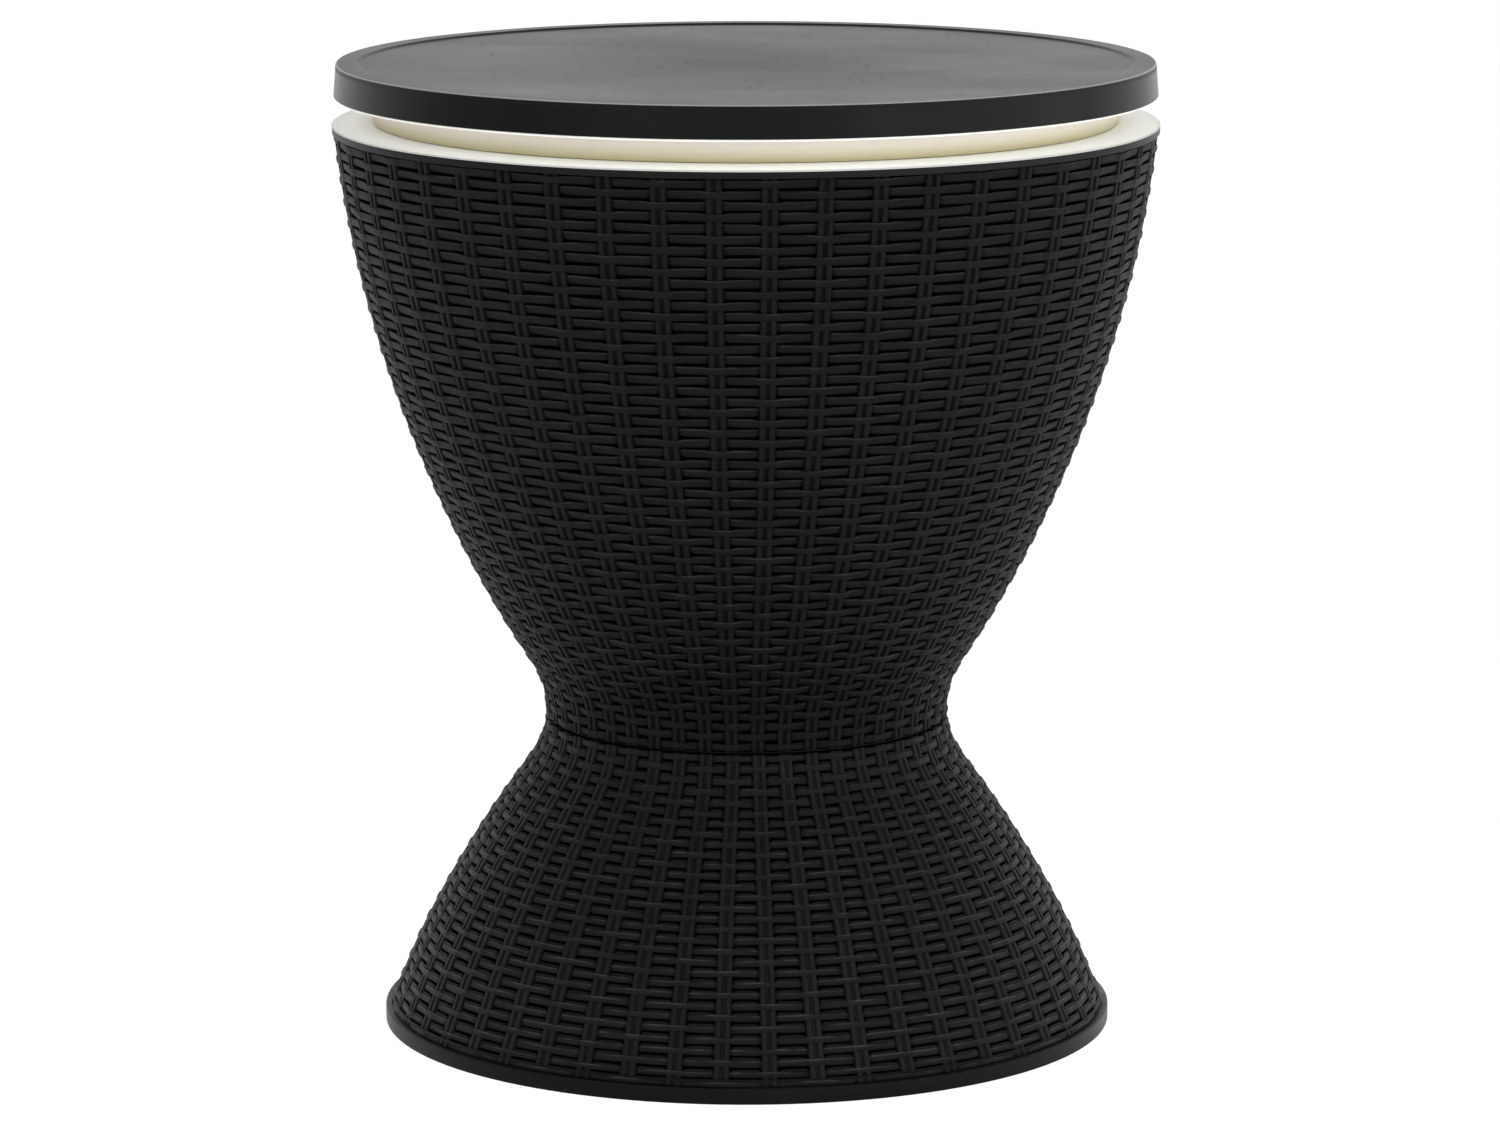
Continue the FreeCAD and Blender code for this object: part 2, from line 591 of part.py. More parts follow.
def radial(screw, z, deg, r):
    """Screw that points inwards along a radius; under-head face at radius r."""
    s = screw.copy()
    s.rotate(V(0, 0, 0), V(0, 1, 0), 90)
    s.translate(V(r, 0, z))
    s.rotate(V(0, 0, 0), Z, deg)
    return s


def build():
    save("lower_shell", make_lower_shell())
    save("upper_shell", make_upper_shell())
    save("bucket_liner", make_bucket_liner())
    save("insulation", make_insulation())
    save("bucket_jacket", make_bucket_jacket())
    save("center_sleeve", make_center_sleeve())
    save("sleeve_nut", make_sleeve_nut())
    save("sleeve_cap", make_sleeve_cap())
    save("sleeve_end_cap", make_sleeve_end_cap())
    save("sleeve_gasket", one(tube(SEAL_R - 0.5, SLEEVE_R + 0.4, FLOOR_Z, FLOOR_Z + 2.0)))
    save("guide_bush", make_guide_bush())
    save("lift_post", make_lift_post())
    save("post_foot", make_post_foot())
    save("post_flange", make_post_flange())
    save("table_top", make_table_top())
    save("lid_liner", make_lid_liner())
    save("lid_rim", make_lid_rim())
    save("lid_foam", make_lid_foam())
    save("drain_pipe", make_drain_pipe())
    save("drain_gasket", one(tube(15.6, 11.1, FLOOR_Z, FLOOR_Z + 1.5, drain.x, drain.y)))
    save("drain_nut", make_drain_nut())
    save("drain_plug", make_drain_plug())

    waist = pan_screw(5.0, 3.2, 2.0, 22.0)
    save("waist_screws", group(waist, [(polar(WAIST_SCREW_R, a, WAIST_Z + 4.0), a, False)
                                       for a in waist_angles]))
    cover = pan_screw(4.6, 2.8, 1.9, 16.0)
    save("cover_screws", group(cover, [(polar(LINER_BOSS_R, a, PLUG_Z0), a, True)
                                       for a in cover_angles]))
    hub = pan_screw(4.4, 2.6, 1.9, 22.0)
    save("hub_screws", group(hub, [(polar(HUB_SCREW_R, a, PLUG_Z0 - 5.0), a, True)
                                   for a in hub_angles]))
    side = pan_screw(3.0, 1.9, 1.6, 11.0)
    save("post_screws", Part.makeCompound([radial(side, 558.0, a, 36.0) for a in (0.0, 180.0)]))
    small = pan_screw(2.6, 1.2, 1.4, 8.0)
    foot = []
    for a in (90.0, 270.0):
        foot.append(radial(small, 128.0, a, POST_R - 1.4))
    save("foot_screws", Part.makeCompound(foot))


build()
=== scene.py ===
import math

import bpy
import bmesh
import numpy as np
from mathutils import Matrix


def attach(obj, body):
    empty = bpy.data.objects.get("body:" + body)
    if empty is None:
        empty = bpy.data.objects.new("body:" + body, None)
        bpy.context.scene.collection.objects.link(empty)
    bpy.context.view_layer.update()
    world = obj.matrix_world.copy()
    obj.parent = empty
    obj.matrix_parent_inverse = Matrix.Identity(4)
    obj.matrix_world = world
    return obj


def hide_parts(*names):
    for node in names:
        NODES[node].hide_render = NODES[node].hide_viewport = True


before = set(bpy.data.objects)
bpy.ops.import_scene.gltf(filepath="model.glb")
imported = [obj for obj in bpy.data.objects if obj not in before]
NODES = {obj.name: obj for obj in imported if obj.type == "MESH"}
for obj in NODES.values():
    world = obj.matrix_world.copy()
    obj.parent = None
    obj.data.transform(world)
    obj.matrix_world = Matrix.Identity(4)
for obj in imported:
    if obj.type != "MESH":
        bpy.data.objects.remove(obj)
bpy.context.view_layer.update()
MM = 0.001

# ---------------------------------------------------------------- envelope
# outer profile of the two shells: height and radius in millimetres
BASE_WALL = [(10.0, 221.5), (25.0, 214.8), (45.0, 206.2), (65.0, 196.5), (85.0, 185.7),
             (105.0, 173.9), (125.0, 161.3), (145.0, 147.7), (155.0, 140.5),
             (165.0, 133.5), (175.0, 128.1), (185.0, 125.0), (190.0, 124.4)]
BOWL_WALL = [(190.0, 124.4), (201.0, 124.8), (211.0, 126.9), (221.0, 131.3),
             (231.0, 137.4), (246.0, 146.9), (266.0, 158.5), (291.0, 171.9),
             (321.0, 186.4), (351.0, 199.4), (381.0, 210.9), (411.0, 221.0),
             (441.0, 229.7), (471.0, 237.2), (501.0, 243.2), (531.0, 248.0),
             (551.2, 250.6)]
WAIST_Z, RIM_BAND_Z, RIM_Z, BAND_Z = 190.0, 551.2, 555.15, 10.0

# heights of the slits between the woven strands, from the rim down to the foot
BOWL_SLITS = [550.36, 544.38, 538.01, 531.39, 524.79, 518.19, 511.58, 504.97, 498.37, 491.77,
              485.15, 478.74, 472.14, 465.73, 459.33, 452.51, 446.11, 439.7, 433.3, 426.88,
              420.43, 413.99, 407.58, 401.17, 394.76, 388.34, 381.94, 375.73, 369.52, 363.32,
              357.13, 350.93, 344.73, 338.52, 332.32, 326.31, 320.3, 314.3, 308.28, 302.06,
              296.23, 290.01, 284.2, 278.19, 272.17, 266.36, 260.54, 254.53, 249.37, 243.61,
              237.67, 232.11, 226.57, 221.21, 215.06, 209.11, 202.77, 196.46, 190.56]
BASE_SLITS = [189.38, 183.68, 177.29, 171.08, 165.06, 159.27, 153.9, 148.72, 143.15, 137.59,
              132.03, 126.42, 120.78, 115.15, 109.49, 103.86, 98.02, 92.39, 86.35, 80.71, 74.67,
              68.83, 62.96, 56.87, 50.77, 44.67, 38.39, 32.17, 26.15, 19.77, 14.2, 9.6]
STAKES = 48
BOWL_TURN, BASE_TURN = 3.22, 3.56      # degrees from the front to the first stake
BAY = 360.0 / STAKES


def curve_r(table, z):
    zs = np.array([t[0] for t in table])
    rs = np.array([t[1] for t in table])
    d = np.diff(rs) / np.diff(zs)
    m = np.concatenate([[d[0]], 0.5 * (d[:-1] + d[1:]), [d[-1]]])
    z = np.asarray(z, float)
    i = np.clip(np.searchsorted(zs, z, side="right") - 1, 0, len(zs) - 2)
    h = zs[i + 1] - zs[i]
    t = (z - zs[i]) / h
    return (rs[i] * (2 * t ** 3 - 3 * t ** 2 + 1) + m[i] * h * (t ** 3 - 2 * t ** 2 + t)
            + rs[i + 1] * (3 * t ** 2 - 2 * t ** 3) + m[i + 1] * h * (t ** 3 - t ** 2))


def slope(table, z):
    lo, hi = table[0][0], table[-1][0]
    a, b = np.clip(z - 0.4, lo, hi), np.clip(z + 0.4, lo, hi)
    return (curve_r(table, b) - curve_r(table, a)) / (b - a)


def frame_at(table, z):
    """radius, unit tangent (upwards) and unit normal (outwards) of the wall, as (r, z) pairs"""
    r, m = curve_r(table, z), slope(table, z)
    n = np.sqrt(1.0 + m * m)
    return r, (m / n, 1.0 / n), (1.0 / n, -m / n)


def smooth(t):
    t = np.clip(t, 0.0, 1.0)
    return t * t * (3.0 - 2.0 * t)


def wave_noise(rng, n_knots, th, amp):
    """smooth closed noise round the turn through n_knots random values, at th in degrees"""
    k = rng.uniform(-1.0, 1.0, n_knots)
    x = (th / 360.0 % 1.0) * n_knots
    i = np.floor(x).astype(int)
    t = smooth(x - i)
    return amp * (k[i % n_knots] * (1 - t) + k[(i + 1) % n_knots] * t)


# ---------------------------------------------------------------- mesh helpers
def build_mesh(name, verts, quads, tris=None, uv=None, across=None, edge=None):
    """verts in millimetres; quads (n,4) and tris (m,3) index arrays; uv per face corner"""
    me = bpy.data.meshes.new(name)
    me.vertices.add(len(verts))
    me.vertices.foreach_set("co", (np.asarray(verts) * MM).astype(np.float32).ravel())
    quads = np.asarray(quads, np.int32).reshape(-1, 4)
    tris = np.zeros((0, 3), np.int32) if tris is None else np.asarray(tris, np.int32).reshape(-1, 3)
    corner = np.concatenate([quads.ravel(), tris.ravel()])
    total = np.concatenate([np.full(len(quads), 4), np.full(len(tris), 3)]).astype(np.int32)
    start = np.concatenate([[0], np.cumsum(total)[:-1]]).astype(np.int32)
    me.loops.add(len(corner))
    me.loops.foreach_set("vertex_index", corner.astype(np.int32))
    me.polygons.add(len(total))
    me.polygons.foreach_set("loop_start", start)
    me.polygons.foreach_set("use_smooth", np.ones(len(total), bool))
    me.update(calc_edges=True)
    if uv is not None:
        layer = me.uv_layers.new(name="OFBake")
        layer.data.foreach_set("uv", np.asarray(uv, np.float32).ravel())
    if across is not None:
        at = me.attributes.new("across", "FLOAT", "POINT")
        at.data.foreach_set("value", np.asarray(across, np.float32))
    if edge is not None:
        at = me.attributes.new("edge", "FLOAT", "POINT")
        at.data.foreach_set("value", np.asarray(edge, np.float32))
    me.validate()
    ob = bpy.data.objects.new(name, me)
    bpy.context.scene.collection.objects.link(ob)
    return ob


# cross-sections of a strand: (share of the half height, depth from the crest in millimetres)
FLAT_STRAND = [(0.90, 1.55), (1.0, 0.78), (0.92, 0.42), (0.83, 0.10), (0.72, 0.02), (0.58, 0.0),
               (0.42, 0.01), (0.36, 0.11), (0.29, 0.02), (0.08, 0.02), (-0.08, 0.04), (-0.14, 0.15),
               (-0.21, 0.09), (-0.38, 0.17), (-0.58, 0.36), (-0.78, 0.66), (-0.93, 1.02), (-1.0, 1.50),
               (-0.93, 2.2), (-0.70, 3.0), (0.70, 3.0)]
ROUND_STRAND = [(0.94, 1.40), (1.0, 0.88), (0.90, 0.42), (0.72, 0.14), (0.42, 0.0), (0.05, 0.02),
                (-0.30, 0.09), (-0.62, 0.27), (-0.88, 0.60), (-1.0, 1.10), (-0.95, 1.6), (-0.72, 2.7),
                (0.72, 2.7)]


def strand_rings(name, table, rows, params, seed):
    """rows: (number, z low, z high, parity); every strand is a closed undulating ring"""
    sect = np.array(params["section"])
    n_s = len(sect)
    verts, across, painted_highlight, quads, uvs = [], [], [], [], []
    # painted highlight: the top-edge points of the section (shine) get a lighter colour through the 'edge' attribute;
    # the deep points (shade) get negative values, which only make them rougher
    shine = np.interp(np.arange(n_s), [0, 1, 2, 3, 4, 5], [0.0, 0.7, 1.0, 0.9, 0.25, 0.0])
    shade = smooth((sect[:, 1] - 0.7) / 0.6)
    strips = 3
    rng = np.random.RandomState(seed)
    for q, (num, z0, z1, parity) in enumerate(rows):
        zc = 0.5 * (z0 + z1)
        r, T, N = frame_at(table, zc)
        height = (z1 - z0) / T[1]
        h = math.degrees(0.5 * params["pair"](zc) / r)
        near = np.array([0.0, 0.7, 0.95, 1.2, 1.5, 1.9]) * h
        bay = np.concatenate([near, [0.5 * BAY], BAY - near[:0:-1]])
        per = len(bay)
        th = (params["turn"] + np.arange(STAKES)[:, None] * BAY + bay[None, :]).ravel()
        n_t = len(th)
        pos = (th - params["turn"]) / BAY
        k = np.floor(pos + 0.5)
        off = np.abs(pos - k) * BAY / h             # 1 at the edge of the stake pair
        over_here = ((k.astype(int) + parity) % 2 == 0)
        rise = smooth((off - params["lip"]) / (params["ramp_over"] - params["lip"]))
        dive = smooth((off - 0.7) / (params["ramp_under"] - 0.7))
        side = np.where(over_here, 1.0, -1.0) * (1.0 - np.clip(off * h / (0.5 * BAY), 0, 1))
        bay_d = params["bay"] - params["lean"] * side
        depth = np.where(over_here, params["over"] + (bay_d - params["over"]) * rise,
                         params["under"] + (bay_d - params["under"]) * dive)
        depth = depth + wave_noise(rng, STAKES * 2, th, params["jit_d"])
        depth = np.maximum(depth, 0.02)
        lift = wave_noise(rng, STAKES, th, params["jit_u"]) + wave_noise(rng, STAKES * 2, th, 0.5 * params["jit_u"])
        grow = 1.0 + wave_noise(rng, STAKES * 2, th, params["jit_h"])
        plate = np.where(over_here, 1.0 - rise, 0.0)
        tuck = np.where(over_here, 0.0, 1.0 - dive)
        half = 0.5 * height * grow * (1.0 - params["pinch"] * plate - params["tuck"] * tuck)
        u = half[:, None] * sect[None, :, 0] + lift[:, None]
        d = depth[:, None] + sect[None, :, 1]
        d = np.minimum(d, params["deepest"])
        rr = r + u * T[0] - d * N[0]
        zz = zc + u * T[1] - d * N[1]
        a = np.radians(th)[:, None]
        v = np.stack([rr * np.sin(a), -rr * np.cos(a), zz], -1).reshape(-1, 3)
        verts.append(v)
        length = np.concatenate([[0], np.cumsum(np.hypot(np.diff(sect[:, 0]) * 0.5 * height, np.diff(sect[:, 1])))])
        across.append(np.tile(length + 31.7 * num, n_t))
        light = np.clip(0.55 + wave_noise(rng, STAKES * 4, th, 0.55), 0.0, 1.0)
        light = light * np.clip(abs(zc - WAIST_Z) / 55.0, 0.1, 1.0)       # the painted highlight is fainter near the waist
        painted_highlight.append((light[:, None] * shine[None, :] - shade[None, :]).ravel())
        I, J = np.meshgrid(np.arange(n_t), np.arange(n_s), indexing="ij")
        I2, J2 = (I + 1) % n_t, (J + 1) % n_s
        qd = np.stack([I * n_s + J, I * n_s + J2, I2 * n_s + J2, I2 * n_s + J], -1).reshape(-1, 4)
        quads.append(qd + q * n_t * n_s)
        seg = n_t // strips
        S = I // seg
        row = (q * strips + S)
        n_rows = len(rows) * strips
        U0 = (I - S * seg) / seg
        U1 = U0 + 1.0 / seg
        V0 = (row + 0.06 + 0.88 * J / n_s) / n_rows
        V1 = (row + 0.06 + 0.88 * (J + 1) / n_s) / n_rows
        uv = np.stack([np.stack([U0, V0], -1), np.stack([U0, V1], -1),
                       np.stack([U1, V1], -1), np.stack([U1, V0], -1)], 2)
        uvs.append(uv.reshape(-1, 2))
    return build_mesh(name, np.concatenate(verts), np.concatenate(quads), uv=np.concatenate(uvs),
                      across=np.concatenate(across), edge=np.concatenate(painted_highlight))


def stake_ribs(name, table, stakes, z_low, z_high, params, seed):
    """pairs of rounded ribs with a groove, running up the wall; closed at both ends"""
    rng = np.random.RandomState(seed)
    n_p = params["samples"]
    zs = np.linspace(z_low, z_high, n_p)
    r, T, N = frame_at(table, zs)
    pair = params["pair"](zs)
    gap = params["gap"](zs)
    rad = 0.25 * (pair - gap)                     # half the width of one rib
    off = 0.5 * gap + rad
    arc = np.linspace(np.pi, 0.0, 7)
    verts, across, quads, tris, uvs, tuvs = [], [], [], [], [], []
    n_sec = None
    count = len(stakes)
    for c, k in enumerate(stakes):
        th = math.radians(params["turn"] + BAY * k)
        sway = 0.14 * np.sin(zs / 47.0 + 1.7 * k) + 0.10 * np.sin(zs / 19.0 + 0.9 * k)
        xs, ds = [], []
        xs.append(-off - rad)
        ds.append(np.full(n_p, params["foot"]))
        for side in (-1.0, 1.0):
            for b in arc:
                cb, sb = math.cos(b), max(math.sin(b), 0.0)
                xs.append(side * off + rad * math.copysign(abs(cb) ** 0.7, cb))
                ds.append(params["crest"] + params["tall"] * (1.0 - sb ** 0.65))
            if side < 0:
                xs.append(-0.5 * gap + params["crease"])
                ds.append(np.full(n_p, params["groove"]))
                xs.append(0.5 * gap - params["crease"])
                ds.append(np.full(n_p, params["groove"]))
        xs.append(off + rad)
        ds.append(np.full(n_p, params["foot"]))
        xs.append(np.zeros(n_p))
        ds.append(np.full(n_p, params["foot"] + 0.5))
        ds = [np.zeros(n_p) + e for e in ds]
        X = np.stack(xs, 1) + sway[:, None]
        D = np.stack(ds, 1) + 0.04 * rng.uniform(-1, 1)
        n_sec = X.shape[1]
        R = r[:, None] - D * N[0][:, None]
        Z = zs[:, None] - D * N[1][:, None]
        # keep the section flat across the stake, with the wall's own curve under it
        x = R * math.sin(th) + X * math.cos(th)
        y = -R * math.cos(th) + X * math.sin(th)
        sag = (X ** 2) / (2.0 * R)
        x = x - sag * math.sin(th)
        y = y + sag * math.cos(th)
        v = np.stack([x, y, Z], -1).reshape(-1, 3)
        base = c * (n_p * n_sec)
        verts.append(v)
        step = np.hypot(np.diff(X[n_p // 2]), np.diff(D[n_p // 2]))
        length = np.concatenate([[0], np.cumsum(step)])
        across.append(np.tile(length + 23.3 * (k + 60), n_p))
        I, J = np.meshgrid(np.arange(n_p - 1), np.arange(n_sec), indexing="ij")
        J2 = (J + 1) % n_sec
        qd = np.stack([I * n_sec + J, I * n_sec + J2, (I + 1) * n_sec + J2, (I + 1) * n_sec + J], -1)
        quads.append(qd.reshape(-1, 4) + base)
        U0 = (c + 0.04 + 0.92 * J / n_sec) / count
        U1 = (c + 0.04 + 0.92 * (J + 1) / n_sec) / count
        V0, V1 = I / (n_p - 1), (I + 1) / (n_p - 1)
        uv = np.stack([np.stack([U0, V0], -1), np.stack([U1, V0], -1),
                       np.stack([U1, V1], -1), np.stack([U0, V1], -1)], 2)
        uvs.append(uv.reshape(-1, 2))
        for top, row in ((False, 0), (True, n_p - 1)):
            ring = base + row * n_sec + np.arange(n_sec)
            mid = n_sec - 1                      # the buried point closes the end as a fan
            for j in range(n_sec - 2):
                t3 = [ring[mid], ring[j + 1], ring[j]]
                if top:
                    t3 = [ring[mid], ring[j], ring[j + 1]]
                tris.append(t3)
                e = 0.002 if not top else 0.998
                tuvs += [((c + 0.5) / count, e), ((c + 0.5) / count + 0.001, e), ((c + 0.5) / count, e + 0.0005)]
    uv_all = np.concatenate([np.concatenate(uvs), np.array(tuvs)])
    return build_mesh(name, np.concatenate(verts), np.concatenate(quads), tris,
                      uv=uv_all, across=np.concatenate(across))


def turned_ring(name, path, steps=288):
    """closed (r, z) path turned round the axis"""
    p = np.array(path, float)
    n = len(p)
    a = np.arange(steps) / steps * 2 * np.pi
    v = np.stack([p[None, :, 0] * np.sin(a)[:, None], -p[None, :, 0] * np.cos(a)[:, None],
                  np.repeat(p[None, :, 1], steps, 0)], -1).reshape(-1, 3)
    I, J = np.meshgrid(np.arange(steps), np.arange(n), indexing="ij")
    I2, J2 = (I + 1) % steps, (J + 1) % n
    q = np.stack([I * n + J, I2 * n + J, I2 * n + J2, I * n + J2], -1).reshape(-1, 4)
    area = 0.5 * np.sum(p[:, 0] * np.roll(p[:, 1], -1) - np.roll(p[:, 0], -1) * p[:, 1])
    if area < 0:
        q = q[:, ::-1]
    strips = 4
    seg = steps // strips
    S = I // seg
    U0, U1 = (I - S * seg) / seg, (I - S * seg + 1) / seg
    per = np.hypot(*(np.roll(p, -1, 0) - p).T)
    cum = np.concatenate([[0], np.cumsum(per)]) / per.sum()
    V0, V1 = (S + 0.03 + 0.94 * cum[J]) / strips, (S + 0.03 + 0.94 * cum[J + 1]) / strips
    uv = np.stack([np.stack([U0, V0], -1), np.stack([U1, V0], -1),
                   np.stack([U1, V1], -1), np.stack([U0, V1], -1)], 2)
    if area < 0:
        uv = uv[:, :, ::-1]
    return build_mesh(name, v, q, uv=uv.reshape(-1, 2))


def set_in_copy(node, name, test, inset):
    """copy of a CAD node's mesh whose woven face is set back, to stand behind the strands"""
    ob = bpy.data.objects.new(name, NODES[node].data.copy())
    bpy.context.scene.collection.objects.link(ob)
    me = ob.data
    bm = bmesh.new()
    bm.from_mesh(me)
    bmesh.ops.remove_doubles(bm, verts=bm.verts, dist=2e-6)
    bm.to_mesh(me)
    bm.free()
    co = np.zeros(len(me.vertices) * 3, np.float32)
    me.vertices.foreach_get("co", co)
    co = co.reshape(-1, 3).astype(float) * 1000.0
    r = np.hypot(co[:, 0], co[:, 1])
    hit = test(r, co[:, 2])
    move = np.where(hit, inset(co[:, 2]), 0.0)
    k = (r - move) / np.maximum(r, 1e-6)
    co[:, 0] *= k
    co[:, 1] *= k
    me.vertices.foreach_set("co", (co * MM).astype(np.float32).ravel())
    for at in ("custom_normal",):
        if at in me.attributes:
            me.attributes.remove(me.attributes[at])
    me.polygons.foreach_set("use_smooth", np.ones(len(me.polygons), bool))
    me.set_sharp_from_angle(angle=math.radians(32))
    me.update()
    return ob


# ---------------------------------------------------------------- materials
def new_material(name):
    m = bpy.data.materials.new(name)
    m.use_nodes = True
    nt = m.node_tree
    nt.nodes.clear()
    out = nt.nodes.new("ShaderNodeOutputMaterial")
    bs = nt.nodes.new("ShaderNodeBsdfPrincipled")
    nt.links.new(bs.outputs[0], out.inputs[0])
    return m, nt, bs


def node(nt, kind, **kw):
    n = nt.nodes.new(kind)
    for k, v in kw.items():
        if k in n.inputs:
            n.inputs[k].default_value = v
        else:
            setattr(n, k, v)
    return n


def noise(nt, vec, scale, detail=4.0, rough=0.55, w=None, distortion=0.0):
    n = nt.nodes.new("ShaderNodeTexNoise")
    n.noise_dimensions = "4D" if w is not None else "3D"
    n.inputs["Scale"].default_value = scale
    n.inputs["Detail"].default_value = detail
    n.inputs["Roughness"].default_value = rough
    n.inputs["Distortion"].default_value = distortion
    nt.links.new(vec, n.inputs["Vector"])
    if w is not None:
        nt.links.new(w, n.inputs["W"])
    return n.outputs["Fac"]


def ramp(nt, fac, stops):
    n = nt.nodes.new("ShaderNodeValToRGB")
    el = n.color_ramp.elements
    while len(el) < len(stops):
        el.new(0.5)
    for e, (p, c) in zip(el, stops):
        e.position = p
        e.color = (c, c, c, 1.0) if isinstance(c, (int, float)) else (*c, 1.0)
    nt.links.new(fac, n.inputs[0])
    return n.outputs[0]


def maths(nt, op, a, b=None, c=None, clamp=False):
    n = nt.nodes.new("ShaderNodeMath")
    n.operation = op
    n.use_clamp = clamp
    for i, v in enumerate((a, b, c)):
        if v is None:
            continue
        if isinstance(v, (int, float)):
            n.inputs[i].default_value = v
        else:
            nt.links.new(v, n.inputs[i])
    return n.outputs[0]


def mix_rgb(nt, fac, a, b, blend="MIX"):
    n = nt.nodes.new("ShaderNodeMix")
    n.data_type = "RGBA"
    n.blend_type = blend
    for sock, v in ((n.inputs[0], fac), (n.inputs[6], a), (n.inputs[7], b)):
        if isinstance(v, (int, float)):
            sock.default_value = v
        elif isinstance(v, tuple):
            sock.default_value = (*v, 1.0)
        else:
            nt.links.new(v, sock)
    return n.outputs[2]


def bump(nt, bs, height, strength, distance, chain=None):
    n = nt.nodes.new("ShaderNodeBump")
    n.inputs["Strength"].default_value = strength
    n.inputs["Distance"].default_value = distance
    nt.links.new(height, n.inputs["Height"])
    if chain is not None:
        nt.links.new(chain, n.inputs["Normal"])
    nt.links.new(n.outputs[0], bs.inputs["Normal"])
    return n.outputs[0]


def coords(nt):
    return nt.nodes.new("ShaderNodeTexCoord").outputs["Object"]


def scaled(nt, vec, s):
    n = nt.nodes.new("ShaderNodeMapping")
    n.inputs["Scale"].default_value = s
    nt.links.new(vec, n.inputs["Vector"])
    return n.outputs[0]


def set_bs(bs, **kw):
    for k, v in kw.items():
        bs.inputs[k.replace("_", " ")].default_value = v


def mat_wicker(name, spec, painted_highlight):
    m, nt, bs = new_material(name)
    v = coords(nt)
    at = nt.nodes.new("ShaderNodeAttribute")
    at.attribute_name = "across"
    w = maths(nt, "MULTIPLY", at.outputs["Fac"], 0.95)
    streak = noise(nt, v, 30.0, 3.0, 0.62, w=w)
    w2 = maths(nt, "MULTIPLY", at.outputs["Fac"], 2.6)
    fine = noise(nt, v, 55.0, 2.0, 0.5, w=w2)
    patch = noise(nt, v, 7.0, 3.0, 0.5)
    col = ramp(nt, streak, [(0.38, (0.0006, 0.0006, 0.0005)), (0.50, (0.0030, 0.0030, 0.0028)), (0.63, (0.0125, 0.0125, 0.0119))])
    col = mix_rgb(nt, maths(nt, "MULTIPLY", patch, 0.30), col, (0.0060, 0.0059, 0.0055))
    # painted highlight: a lighter grey is mixed onto the strands' top edges, in streaks, by the 'edge' attribute
    painted_highlight_attr = nt.nodes.new("ShaderNodeAttribute")
    painted_highlight_attr.attribute_name = "edge"
    col = mix_rgb(nt, maths(nt, "MULTIPLY", painted_highlight_attr.outputs["Fac"], ramp(nt, streak, [(0.36, 0.35), (0.60, 1.0)]), clamp=True), col, (painted_highlight, painted_highlight, painted_highlight * 0.98))
    nt.links.new(col, bs.inputs["Base Color"])
    rg = maths(nt, "MULTIPLY_ADD", streak, 0.24, 0.27)
    rg = maths(nt, "MULTIPLY_ADD", patch, 0.12, rg)
    rg = maths(nt, "ADD", rg, maths(nt, "MULTIPLY", painted_highlight_attr.outputs["Fac"], -0.5, clamp=True))
    nt.links.new(rg, bs.inputs["Roughness"])
    set_bs(bs, Specular_IOR_Level=spec)
    b = bump(nt, bs, streak, 0.9, 0.0008)
    bump(nt, bs, fine, 0.6, 0.00035, b)
    return m


def mat_wicker_back():
    # painted shade: the slit floors are coloured darker than the strands, with no specular reflection
    m, nt, bs = new_material("woven_black_resin_recess_painted_shade")
    v = coords(nt)
    cloud = noise(nt, v, 55.0, 4.0, 0.6)
    nt.links.new(ramp(nt, cloud, [(0.3, 0.0006), (0.7, 0.0016)]), bs.inputs["Base Color"])
    nt.links.new(maths(nt, "MULTIPLY_ADD", cloud, 0.2, 0.55), bs.inputs["Roughness"])
    set_bs(bs, Specular_IOR_Level=0.0)
    bump(nt, bs, cloud, 0.3, 0.0003)
    return m


def mat_wicker_ledge():
    m, nt, bs = new_material("woven_black_resin_ledge")
    v = coords(nt)
    at = nt.nodes.new("ShaderNodeAttribute")
    at.attribute_name = "across"
    cloud = noise(nt, v, 45.0, 4.0, 0.6, w=maths(nt, "MULTIPLY", at.outputs["Fac"], 1.4))
    lit = ramp(nt, cloud, [(0.40, (0.0004, 0.0004, 0.0004)), (0.60, (0.0055, 0.0055, 0.0053))])
    nt.links.new(lit, bs.inputs["Base Color"])
    nt.links.new(maths(nt, "MULTIPLY_ADD", cloud, 0.2, 0.38), bs.inputs["Roughness"])
    set_bs(bs, Specular_IOR_Level=0.08)
    bump(nt, bs, cloud, 0.5, 0.0004)
    return m


def mat_black_moulded(name, lo=0.0020, hi=0.0042, spec=0.13, rough=0.36):
    m, nt, bs = new_material(name)
    v = coords(nt)
    cloud = noise(nt, v, 9.0, 4.0, 0.55)
    grain = noise(nt, v, 900.0, 3.0, 0.6)
    col = ramp(nt, cloud, [(0.3, (lo, lo, lo * 0.96)), (0.7, (hi, hi, hi * 0.95))])
    nt.links.new(col, bs.inputs["Base Color"])
    rg = maths(nt, "MULTIPLY_ADD", cloud, 0.14, rough - 0.07)
    rg = maths(nt, "MULTIPLY_ADD", grain, 0.06, rg)
    nt.links.new(rg, bs.inputs["Roughness"])
    set_bs(bs, Specular_IOR_Level=spec)
    bump(nt, bs, grain, 0.12, 0.00006)
    return m


